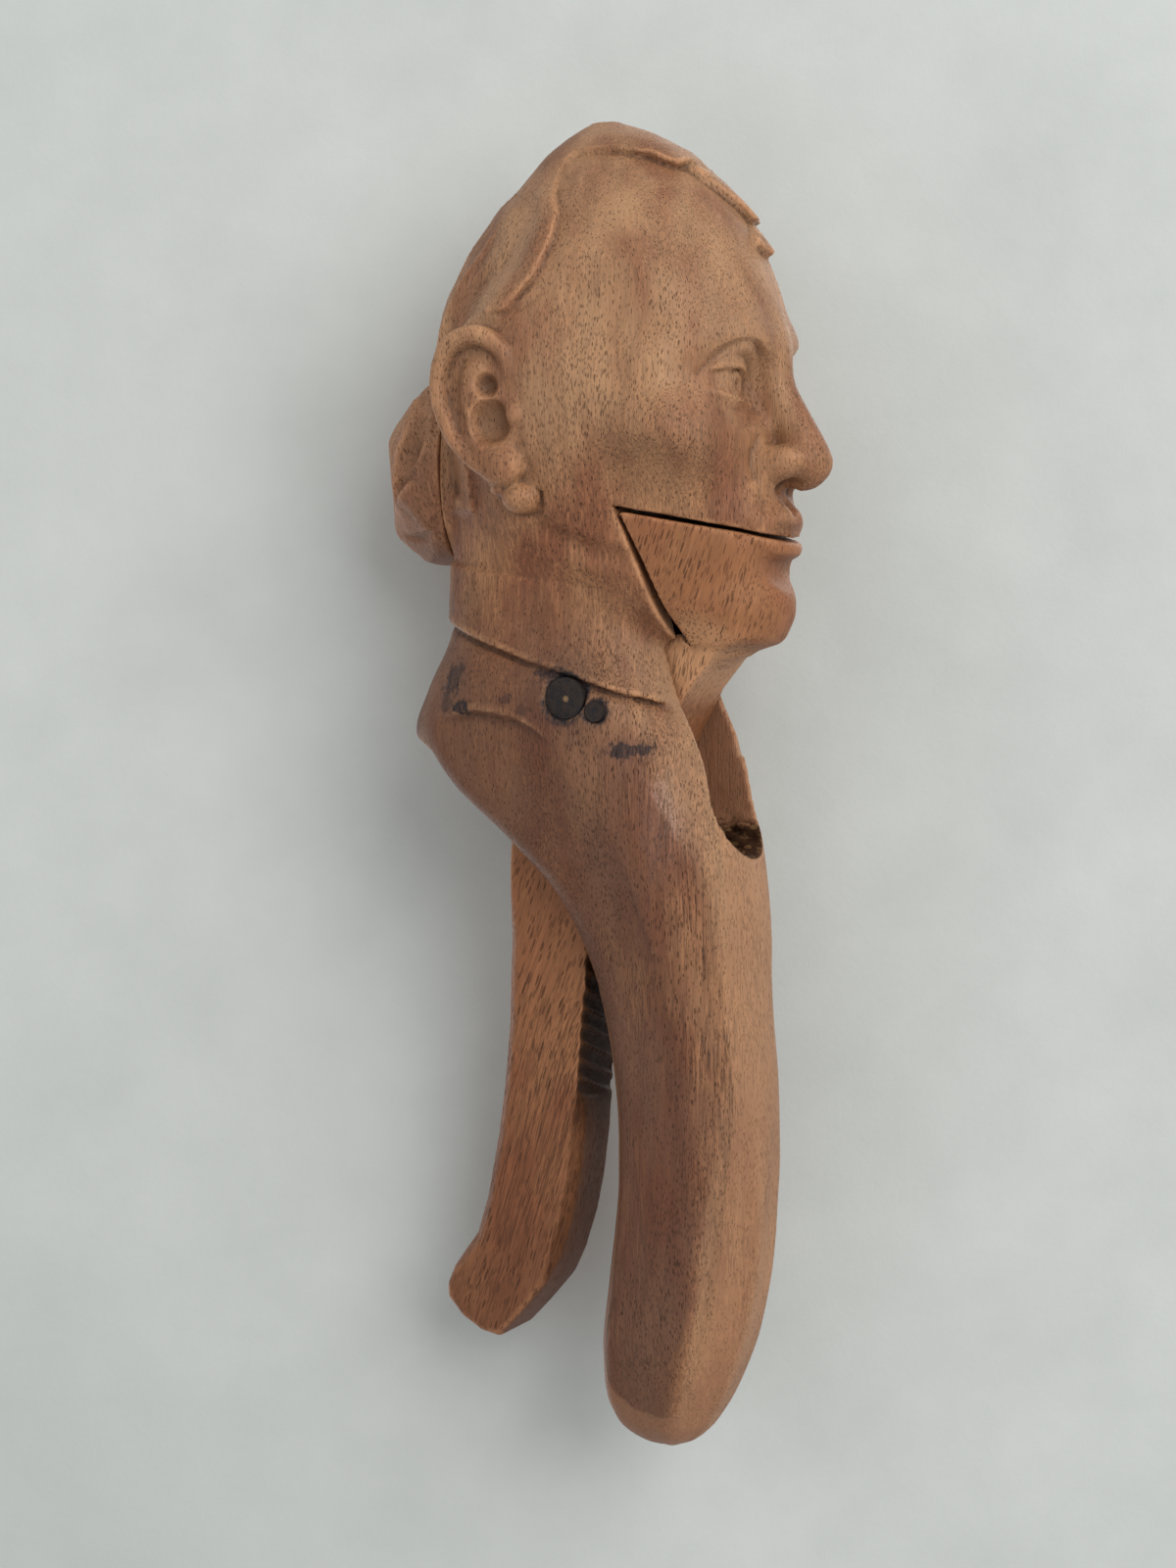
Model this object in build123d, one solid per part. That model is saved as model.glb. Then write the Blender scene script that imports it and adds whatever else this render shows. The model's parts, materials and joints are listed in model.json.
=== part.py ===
from build123d import *
import math
import os

"""Figural lever nutcracker in carved wood: a head-and-handle block, a jaw lever that swings in
its slot on an iron pin, a glued hair bun and a small locking brad.

+Z is up the figure, the face looks along -Y and +X is the figure's left side. The origin is the
bottom centre of the bounding box. Places are given from the pivot axis as x, f (distance
forward) and z (height above it), and point() moves them to the frame. Millimetres.
"""

# ---- pivot, pin and brad -------------------------------------------------------------------
PIVOT_Y = -1.5
PIVOT_Z = 116.5
PIN_R = 2.5
PIN_CLEAR = 0.06          # radial running clearance of the lever on the pin
PIN_HALF = 18.7           # half length over the heads
PIN_HEAD_R = 3.1
PIN_HEAD_H = 1.4
PIN_HEAD_X = PIN_HALF - PIN_HEAD_H     # inner face of a pin head

BRAD_R = 0.75
BRAD_HEAD_R = 1.5
BRAD_F = 4.9
BRAD_Z = -2.0
BRAD_TIP_X = -9.2
BRAD_SHANK_X = -18.6      # outer end of the shank, inside the head
BRAD_SEAT_X = -18.0       # underside of the head
BRAD_TOP_X = -18.9

REACH = 40.0              # how far cutters run, past the outside of the wood

# ---- body and head blanks ------------------------------------------------------------------
# Carved sections: z, centre f, half width, half depth, superellipse power.
SECTION_SIDES = 16
TORSO = [                 # end of the front handle up to the neck
    (-PIVOT_Z, 10.2, 2.6, 2.8, 2.0),
    (-114.8, 9.7, 5.6, 6.0, 2.0),
    (-111.7, 9.5, 8.0, 8.6, 2.1),
    (-103.2, 11.0, 11.0, 11.6, 2.2),
    (-89.8, 12.9, 12.0, 12.7, 2.3),
    (-74.6, 14.4, 12.1, 12.7, 2.3),
    (-59.4, 14.0, 12.3, 13.0, 2.3),
    (-44.1, 11.6, 13.0, 14.0, 2.3),
    (-36.5, 9.5, 14.0, 15.4, 2.3),
    (-28.9, 6.7, 15.6, 17.4, 2.3),
    (-21.3, 2.1, 17.6, 20.6, 2.3),
    (-13.7, -3.1, 19.5, 24.4, 2.3),
    (-6.1, -6.9, 20.4, 25.3, 2.3),
    (1.5, -6.9, 19.6, 22.6, 2.3),
    (9.1, -6.4, 17.6, 19.6, 2.4),
    (16.7, -7.2, 16.8, 18.6, 2.4),
    (24.0, -7.0, 16.5, 18.4, 2.4),
]
HEAD = [                  # chin to crown
    (8.5, 9.5, 8.5, 14.0, 2.2),
    (11.5, 7.0, 12.0, 19.5, 2.2),
    (17.5, 3.5, 16.2, 22.8, 2.2),
    (24.0, 1.0, 19.2, 25.8, 2.2),
    (31.0, 0.5, 21.3, 26.6, 2.2),
    (38.5, 0.0, 22.8, 27.3, 2.2),
    (46.0, -0.6, 23.6, 28.3, 2.2),
    (53.0, -1.0, 23.4, 28.4, 2.2),
    (60.3, -1.3, 21.9, 26.9, 2.2),
    (66.7, -0.9, 19.4, 23.6, 2.2),
    (74.2, -0.4, 15.0, 18.6, 2.1),
    (79.6, -0.6, 10.8, 13.8, 2.0),
    (84.6, -1.2, 6.0, 8.2, 2.0),
    (88.0, -1.8, 1.8, 2.8, 2.0),
]

# ---- face ----------------------------------------------------------------------------------
NOSE_SIDES = 8
NOSE = [                  # root to base, same columns
    (51.5, 25.0, 3.0, 3.0, 2.0),
    (45.0, 25.6, 3.2, 5.0, 2.0),
    (39.0, 26.4, 3.9, 7.2, 2.0),
    (34.5, 27.0, 5.4, 9.0, 2.0),
    (31.6, 26.6, 4.8, 6.4, 2.0),
]
EAR_SIDES = 12
EAR_F = -11.6
EAR_Z = 43.6
EAR_LEAN = math.radians(13)
EAR_HALF_DEPTH = 6.8
EAR_HALF_HEIGHT = 11.8
EAR_X = 25.6              # outer face from the mid-plane
EAR_LAYERS = [(17.0, 0.9), (EAR_X - 1.6, 1.0), (EAR_X, 0.8)]     # x, scale of the outline

# Left-hand places (x, f, z), mirrored for the right.
DROP_AT, DROP_R = (20.8, -6.4, 29.9), 2.9      # ear drop
EYE_AT, EYE_R = (8.8, 20.6, 46.5), 6.2
BROW_F, BROW_Z, BROW_R = 22.6, 51.8, 3.4
BROW_X = (3.5, 11.5)      # inner and outer end

# ---- slot and mouth, as (f, z) outlines ----------------------------------------------------
SLOT_HALF = 8.0
POCKET_R = SLOT_HALF      # round lower end of the slot, seen from the front
POCKET_F = 6.0            # inner end of the pocket
POCKET_Z = -16.2
SLOT = [
    (30.0, 14.0), (14.0, 12.0), (8.0, 12.2), (0.0, 12.0), (-8.0, 9.6), (-13.6, 4.6),
    (-17.6, -1.6), (-22.4, -6.6), (-31.5, -18.5), (-44.0, -34.0), (-44.0, -60.0),
    (-4.0, -60.0), (-0.4, -47.0), (1.4, -38.5), (4.4, -28.0), (7.6, -19.0),
    (9.4, POCKET_Z), (40.0, POCKET_Z), (40.0, 14.0),
]
MOUTH_ROOF = [(7.6, 28.4), (16.0, 26.8), (24.0, 25.2), (50.0, 18.0)]
THROAT = (14.9, 5.6)
HEAD_CUT = MOUTH_ROOF + [(50.0, -2.0), (20.0, -2.0), THROAT, (10.6, 20.0)]
BODY_CUT = [THROAT] + MOUTH_ROOF + [(50.0, -1.0), (19.0, -1.0)]

NUT_R = 10.5              # spherical scoops in palate and jaw that hold the nut
NUT_F = 15.5
PALATE_Z = 19.2           # centre of the scoop in the palate
JAW_SCOOP_Z = 33.2        # centre of the scoop in the jaw
PALATE_BOX = (30, 30, 20)         # keeps only the top cap of the palate scoop
PALATE_BOX_AT = (0, 20, 34.5)

# Flat on the back of each shoulder: a place on the left one, its outward normal in X, Y, Z
# and the cutting block.
SHOULDER_AT = (16.2, -12.2, -16.0)
SHOULDER_NORMAL = (0.86, 0.40, -0.32)
SHOULDER_BLOCK = (60, 60, 20)

# ---- jaw lever, as (f, z) outlines ---------------------------------------------------------
JAW_GAP = 0.5             # gap between jaw and head with the mouth shut
JAW = (
    [(7.6 + JAW_GAP, 28.3 - JAW_GAP)]
    + [(f, z - JAW_GAP) for f, z in MOUTH_ROOF[1:]]
    + [(50.0, 0.0), (20.0, 3.0), (15.4 + JAW_GAP, 7.4), (10.9 + JAW_GAP, 20.0)]
)
TANG_HALF = SLOT_HALF - 0.4       # half thickness of the lever in the slot
TANG = [
    (6.0, 9.4), (12.5, 9.4), (22.0, 12.0), (23.5, 9.6), (19.4, 6.4), (15.2, 1.2),
    (11.6, -5.6), (7.4, -15.6), (3.0, -27.6), (0.2, -36.0), (-15.6, -36.0),
    (-15.2, -28.0), (-14.4, -15.0), (-12.6, -4.0), (-9.0, 5.6), (0.0, 9.4),
]
GRIP_HALF = 6.7           # half thickness of the rear handle
GRIP_FRONT = [            # top to toe
    (1.2, -32.0), (-0.6, -40.0), (-2.0, -48.0), (-2.9, -60.0),
    (-3.9, -74.0), (-6.2, -85.0), (-11.2, -94.2), (-17.6, -100.8),
]
GRIP_TOE = (-23.8, -98.4)
GRIP_BACK = [             # toe to top
    (-26.4, -94.8), (-25.0, -90.6), (-21.9, -85.2), (-19.9, -79.0),
    (-18.0, -69.0), (-16.8, -60.0), (-16.0, -48.0), (-15.4, -32.0),
]
GRIP_FILLET = 2.2
GRIP_CHAMFER = 1.5
GROOVES = 7               # grooves between the gripping ridges
GROOVE_PITCH = 2.75
GROOVE_R = 1.5
GROOVE_TOP_Z = -42.6
GROOVE_SLOPE = 0.085      # backward shift per unit of drop
LEVER_REACH = 20          # half length of cutters across the lever

# ---- hair bun ------------------------------------------------------------------------------
GLUE_F = -25.0            # glue plane
BUN_W = 24.0
BUN_H = 30.0
BUN_D = 14.0
BUN_Z = 35.0
BUN_SIDES = 16
BUN_POWER = 2.8
BUN_LAYERS = [(0.0, 1.0), (0.35, 0.98), (0.72, 0.80), (1.0, 0.46)]   # share of depth, scale
SEAT_CLEAR = 0.2          # clearance of the seat on each edge of the bun


# ---- helpers -------------------------------------------------------------------------------
def point(x, f, z):
    return (x, PIVOT_Y - f, PIVOT_Z + z)


def outline(points):
    """Flat face inside a closed polygon of (f, z) points on the mid-plane."""
    return polygon([point(0, f, z) for f, z in points])


def polygon(points):
    return make_face(Polyline(*points, close=True))


def ring(half_u, half_v, power, sides):
    """Corners of a faceted superellipse, one at each end of both axes."""
    corners = []
    for i in range(sides):
        angle = 2 * math.pi * i / sides
        c, s = math.cos(angle), math.sin(angle)
        r = (abs(c) ** power + abs(s) ** power) ** (-1.0 / power)
        corners.append((half_u * c * r, half_v * s * r))
    return corners


def loft_sections(rows, sides):
    faces = []
    for z, centre_f, half_width, half_depth, power in rows:
        corners = ring(half_width, half_depth, power, sides)
        faces.append(polygon([point(u, centre_f - v, z) for u, v in corners]))
    return loft(faces, ruled=True)


def across(face, half):
    """Thicken a mid-plane face to both sides."""
    return extrude(face, amount=half, dir=(1, 0, 0), both=True)


def bar_x(f, z, radius, x0, x1):
    """Round bar along X."""
    centre = point((x0 + x1) / 2, f, z)
    return Location(centre, (0, 90, 0)) * Cylinder(radius, abs(x1 - x0))


def ball(x, f, z, radius):
    return Location(point(x, f, z)) * Sphere(radius)


def largest(shape):
    return max(shape.solids(), key=lambda solid: solid.volume)


# ---- pieces --------------------------------------------------------------------------------
def make_ear(side):
    faces = []
    for x, size in EAR_LAYERS:
        corners = []
        for u, v in ring(size * EAR_HALF_DEPTH, size * EAR_HALF_HEIGHT, 2, EAR_SIDES):
            f = EAR_F + u * math.cos(EAR_LEAN) - v * math.sin(EAR_LEAN)
            z = EAR_Z + u * math.sin(EAR_LEAN) + v * math.cos(EAR_LEAN)
            corners.append(point(side * x, f, z))
        faces.append(polygon(corners))
    return loft(faces, ruled=True)


def make_features():
    """Nose, then ear, ear drop, eye and brow of each side."""
    features = [loft_sections(NOSE, NOSE_SIDES)]
    for side in (-1, 1):
        features.append(make_ear(side))
        for (x, f, z), radius in [(DROP_AT, DROP_R), (EYE_AT, EYE_R)]:
            features.append(ball(side * x, f, z, radius))
        features.append(bar_x(BROW_F, BROW_Z, BROW_R, side * BROW_X[0], side * BROW_X[1]))
    return features


def shoulder_knife(side):
    x, f, z = SHOULDER_AT
    normal_x, normal_y, normal_z = SHOULDER_NORMAL
    normal = Vector(side * normal_x, normal_y, normal_z).normalized()
    block = Box(*SHOULDER_BLOCK, align=(Align.CENTER, Align.CENTER, Align.MIN))
    return Plane(origin=Vector(*point(side * x, f, z)), z_dir=normal) * block


def make_body(head):
    """Head, neck, shoulders and front handle in one block."""
    torso = loft_sections(TORSO, SECTION_SIDES)
    body = largest(torso + (head - across(outline(HEAD_CUT), REACH)))
    for feature in make_features():
        body = largest(body + feature)

    # slot, its round lower end and the mouth
    body = body - across(outline(SLOT), SLOT_HALF)
    pocket_centre = point(0, (POCKET_F + REACH) / 2, POCKET_Z)
    pocket = Location(pocket_centre, (90, 0, 0)) * Cylinder(POCKET_R, REACH - POCKET_F)
    body = body - pocket
    body = body - across(outline(BODY_CUT), REACH)

    # pin bore, recesses for the pin heads and shoulder flats
    body = body - bar_x(0, 0, PIN_R, -REACH, REACH)
    for side in (-1, 1):
        body = body - bar_x(0, 0, PIN_HEAD_R, side * PIN_HEAD_X, side * REACH)
        body = body - shoulder_knife(side)

    palate = ball(0, NUT_F, PALATE_Z, NUT_R)
    body = body - (palate & (Location(point(*PALATE_BOX_AT)) * Box(*PALATE_BOX)))

    # seat of the hair bun
    seat = Box(BUN_W + 2 * SEAT_CLEAR, REACH, BUN_H + 2 * SEAT_CLEAR)
    body = body - Location(point(0, GLUE_F - REACH / 2, BUN_Z)) * seat

    # hole and head recess of the brad
    body = body - bar_x(BRAD_F, BRAD_Z, BRAD_R, BRAD_SHANK_X, BRAD_TIP_X)
    body = body - bar_x(BRAD_F, BRAD_Z, BRAD_HEAD_R, -REACH, BRAD_SEAT_X)
    return largest(body)


def make_grip():
    """Rear handle, with its long edges rounded."""
    front = Spline(*[point(0, f, z) for f, z in GRIP_FRONT])
    back = Spline(*[point(0, f, z) for f, z in GRIP_BACK])
    toe = Polyline(*[point(0, f, z) for f, z in (GRIP_FRONT[-1], GRIP_TOE, GRIP_BACK[0])])
    top = Line(point(0, *GRIP_BACK[-1]), point(0, *GRIP_FRONT[0]))
    wire = Wire(front.edges() + toe.edges() + back.edges() + top.edges())
    grip = across(make_face(wire), GRIP_HALF)
    long_edges = [
        edge for edge in grip.edges()
        if edge.length > 20 and abs((edge @ 0.5).X) > GRIP_HALF - 0.01
    ]
    # The fillet can fail on the spline edges; a chamfer then stands in for it.
    try:
        return fillet(long_edges, GRIP_FILLET)
    except Exception:
        return chamfer(long_edges, GRIP_CHAMFER)


def make_lever(head):
    """Chin, throat, tang and rear handle in one piece."""
    lever = head & across(outline(JAW), REACH)
    lever = lever + across(outline(TANG), TANG_HALF)
    lever = lever + make_grip()
    for i in range(GROOVES):
        drop = i * GROOVE_PITCH
        lever = lever - bar_x(
            -GROOVE_SLOPE * drop, GROOVE_TOP_Z - drop, GROOVE_R, -LEVER_REACH, LEVER_REACH
        )
    lever = lever - bar_x(0, 0, PIN_R + PIN_CLEAR, -LEVER_REACH, LEVER_REACH)
    lever = lever - ball(0, NUT_F, JAW_SCOOP_Z, NUT_R)
    return largest(lever)


def make_bun():
    """Hair bun, glued on the back of the head."""
    faces = []
    for share, size in BUN_LAYERS:
        f = GLUE_F - share * BUN_D
        corners = ring(size * BUN_W / 2, size * BUN_H / 2, BUN_POWER, BUN_SIDES)
        faces.append(polygon([point(u, f, BUN_Z + v) for u, v in corners]))
    return largest(loft(faces, ruled=True))


def make_pin():
    pin = bar_x(0, 0, PIN_R, -PIN_HALF, PIN_HALF)
    for side in (-1, 1):
        pin = pin + bar_x(0, 0, PIN_HEAD_R, side * PIN_HEAD_X, side * PIN_HALF)
    return largest(pin)


def make_brad():
    shank = bar_x(BRAD_F, BRAD_Z, BRAD_R, BRAD_SHANK_X, BRAD_TIP_X)
    return largest(shank + bar_x(BRAD_F, BRAD_Z, BRAD_HEAD_R, BRAD_TOP_X, BRAD_SEAT_X))


head_blank = loft_sections(HEAD, SECTION_SIDES)
pieces = {
    "body": make_body(head_blank),
    "jaw_lever": make_lever(head_blank),
    "hair_bun": make_bun(),
    "pivot_pin": make_pin(),
    "locking_brad": make_brad(),
}
os.makedirs("parts", exist_ok=True)
for name, piece in pieces.items():
    export_step(piece, f"parts/{name}.step")
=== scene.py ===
"""Figural lever nutcracker in carved wood: sculpted meshes, wood and iron materials, stage and camera."""
import bpy
import json
import math
import numpy as np
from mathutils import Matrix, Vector

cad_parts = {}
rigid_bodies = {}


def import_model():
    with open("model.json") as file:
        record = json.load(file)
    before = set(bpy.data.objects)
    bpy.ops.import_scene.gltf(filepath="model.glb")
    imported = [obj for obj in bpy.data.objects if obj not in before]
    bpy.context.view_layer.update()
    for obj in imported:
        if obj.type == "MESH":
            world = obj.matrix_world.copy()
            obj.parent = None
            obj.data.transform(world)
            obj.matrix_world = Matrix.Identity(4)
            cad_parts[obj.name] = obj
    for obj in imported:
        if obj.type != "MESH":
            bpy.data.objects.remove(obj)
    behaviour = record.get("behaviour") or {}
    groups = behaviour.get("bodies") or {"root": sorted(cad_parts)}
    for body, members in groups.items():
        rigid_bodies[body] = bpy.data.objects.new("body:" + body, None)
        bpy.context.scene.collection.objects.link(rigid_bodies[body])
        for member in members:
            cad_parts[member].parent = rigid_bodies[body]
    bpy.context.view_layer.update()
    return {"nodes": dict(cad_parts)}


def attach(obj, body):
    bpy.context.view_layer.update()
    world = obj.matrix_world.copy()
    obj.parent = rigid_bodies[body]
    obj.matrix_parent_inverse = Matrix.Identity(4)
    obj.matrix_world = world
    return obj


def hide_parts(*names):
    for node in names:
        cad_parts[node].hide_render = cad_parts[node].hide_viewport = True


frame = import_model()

PY, PZ = -1.5, 116.5                      # pivot axis, mm, row frame
STEP = 0.5
f32 = np.float32

# ------------------------------------------------------------------ sections of the two blanks
TORSO = [
    (-116.5, 9.4, 2.6, 2.7, 2.0), (-115.6, 9.2, 4.6, 4.7, 2.0), (-113.8, 8.8, 6.9, 7.2, 2.0), (-110.4, 8.8, 8.8, 9.7, 2.1),
    (-103.2, 10.0, 11.0, 12.0, 2.2), (-89.8, 12.4, 12.1, 13.1, 2.25), (-74.6, 13.7, 12.2, 12.9, 2.2), (-59.4, 13.3, 12.3, 13.1, 2.15),
    (-44.1, 11.1, 13.0, 14.1, 2.1), (-36.5, 9.5, 14.0, 15.5, 2.1), (-28.9, 6.7, 15.6, 17.5, 2.15), (-21.3, 2.1, 17.6, 20.7, 2.25),
    (-13.7, -3.1, 19.5, 24.4, 2.3), (-6.1, -6.9, 20.2, 25.3, 2.3), (1.5, -7.4, 19.4, 22.4, 2.3), (9.1, -6.9, 17.4, 19.4, 2.4),
    (16.7, -7.4, 16.6, 18.4, 2.4), (24.0, -7.0, 16.5, 18.4, 2.4), (30.0, -7.0, 15.0, 17.0, 2.3)]
HEAD = [
    (7.4, 9.5, 5.0, 11.0, 2.0), (9.0, 9.2, 9.4, 15.2, 2.0), (11.5, 7.6, 12.6, 18.9, 2.05), (17.5, 4.0, 16.4, 22.6, 2.1),
    (24.0, 1.3, 19.2, 25.4, 2.15), (31.0, 0.4, 21.2, 26.2, 2.15), (38.5, -0.4, 22.6, 26.8, 2.15), (46.0, -1.0, 23.4, 27.8, 2.15),
    (53.0, -1.0, 23.3, 28.2, 2.15), (60.3, -0.9, 21.9, 27.0, 2.15), (66.7, -0.5, 19.6, 24.2, 2.1), (74.2, 0.0, 15.6, 19.4, 2.05),
    (79.6, -0.2, 11.4, 14.6, 2.0), (84.6, -0.9, 6.4, 8.8, 2.0), (87.4, -1.6, 2.6, 4.0, 2.0), (88.2, -1.8, 1.2, 2.0, 2.0)]

CUT = [(7.6, 28.4), (16.0, 26.8), (24.0, 25.2), (50.0, 18.0), (50.0, -2.0), (20.0, -2.0), (14.9, 5.6), (10.6, 20.0)]
JAW = [(8.1, 27.8), (16.0, 26.3), (24.0, 24.8), (50.0, 17.7), (50.0, 0.0), (20.0, 3.0), (15.9, 7.4), (11.4, 20.0)]
SLOT = [(30.0, 14.0), (14.0, 12.0), (8.0, 12.2), (0.0, 12.0), (-8.0, 9.6), (-13.6, 4.6), (-17.6, -1.6), (-22.4, -6.6),
        (-31.5, -18.5), (-44.0, -34.0), (-44.0, -60.0), (-4.0, -60.0), (-0.4, -47.0), (1.4, -38.5), (4.4, -28.0),
        (7.6, -19.0), (9.4, -16.2), (40.0, -16.2), (40.0, 14.0)]
TANG = [(6.0, 9.4), (12.5, 9.4), (22.0, 12.0), (23.5, 9.6), (19.4, 6.4), (15.2, 1.2), (11.6, -5.6), (7.4, -15.6),
        (3.0, -27.6), (0.2, -36.0), (-15.6, -36.0), (-15.2, -28.0), (-14.4, -15.0), (-12.6, -4.0), (-9.0, 5.6), (0.0, 9.4)]
GRIP = [(2.2, -28.6), (-0.6, -40.0), (-2.0, -48.0), (-2.9, -60.0), (-3.2, -68.0), (-4.2, -76.0), (-5.4, -82.0), (-7.3, -88.0),
        (-9.6, -92.4), (-14.0, -97.6), (-17.6, -101.4), (-20.8, -100.8), (-24.2, -98.8), (-26.8, -95.9), (-26.9, -93.9), (-25.8, -90.9), (-23.9, -88.0),
        (-21.9, -85.2), (-20.1, -79.4), (-18.1, -69.0), (-17.0, -61.0), (-16.1, -51.0), (-15.9, -42.0), (-15.2, -28.6)]
PIN_R, SLOT_HALF, TANG_HALF, GRIP_HALF = 2.5, 8.0, 7.6, 6.7
GLUE_F = -25.0


# ------------------------------------------------------------------ distance-field tools
def spline(zk, vk, z):
    zk, vk, z = np.asarray(zk, float), np.asarray(vk, float), np.asarray(z, float)
    m = np.gradient(vk, zk)
    i = np.clip(np.searchsorted(zk, z) - 1, 0, len(zk) - 2)
    h = zk[i + 1] - zk[i]
    t = np.clip((z - zk[i]) / h, 0, 1)
    return ((2 * t ** 3 - 3 * t ** 2 + 1) * vk[i] + (t ** 3 - 2 * t ** 2 + t) * h * m[i]
            + (3 * t ** 2 - 2 * t ** 3) * vk[i + 1] + (t ** 3 - t ** 2) * h * m[i + 1])


def smin(a, b, k):
    h = np.maximum(k - np.abs(a - b), 0) / k
    return np.minimum(a, b) - h * h * (k * 0.25)


def smax(a, b, k):
    return -smin(-a, -b, k)


def sstep(x, lo, hi):
    t = np.clip((x - lo) / (hi - lo), 0, 1)
    return t * t * (3 - 2 * t)


def poly_sdf(points, f, z):
    """Signed distance to a closed outline in the (f, z) plane."""
    d2 = np.full(np.broadcast(f, z).shape, 1e9, f32)
    inside = np.zeros(d2.shape, bool)
    n = len(points)
    for i in range(n):
        (ax, az), (bx, bz) = points[i], points[(i + 1) % n]
        ex, ez = bx - ax, bz - az
        wx, wz = f - ax, z - az
        t = np.clip((wx * ex + wz * ez) / (ex * ex + ez * ez), 0, 1)
        d2 = np.minimum(d2, (wx - ex * t) ** 2 + (wz - ez * t) ** 2)
        if az != bz:
            hit = ((az > z) != (bz > z)) & (f < ex * (z - az) / ez + ax)
            inside ^= hit
    d = np.sqrt(d2)
    return np.where(inside, -d, d).astype(f32)


def dense(points, n=7):
    """A Catmull-Rom run through points; each point is a tuple of any length."""
    p = np.asarray(points, float)
    if len(p) < 3:
        t = np.linspace(0, 1, n + 1)[:, None]
        return p[0] * (1 - t) + p[-1] * t
    q = np.vstack([2 * p[0] - p[1], p, 2 * p[-1] - p[-2]])
    out = []
    for i in range(1, len(q) - 2):
        for t in np.linspace(0, 1, n, endpoint=False):
            out.append(0.5 * (2 * q[i] + (q[i + 1] - q[i - 1]) * t + (2 * q[i - 1] - 5 * q[i] + 4 * q[i + 1] - q[i + 2]) * t * t
                              + (3 * q[i] - q[i - 1] - 3 * q[i + 1] + q[i + 2]) * t ** 3))
    out.append(p[-1])
    return np.array(out)


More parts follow.
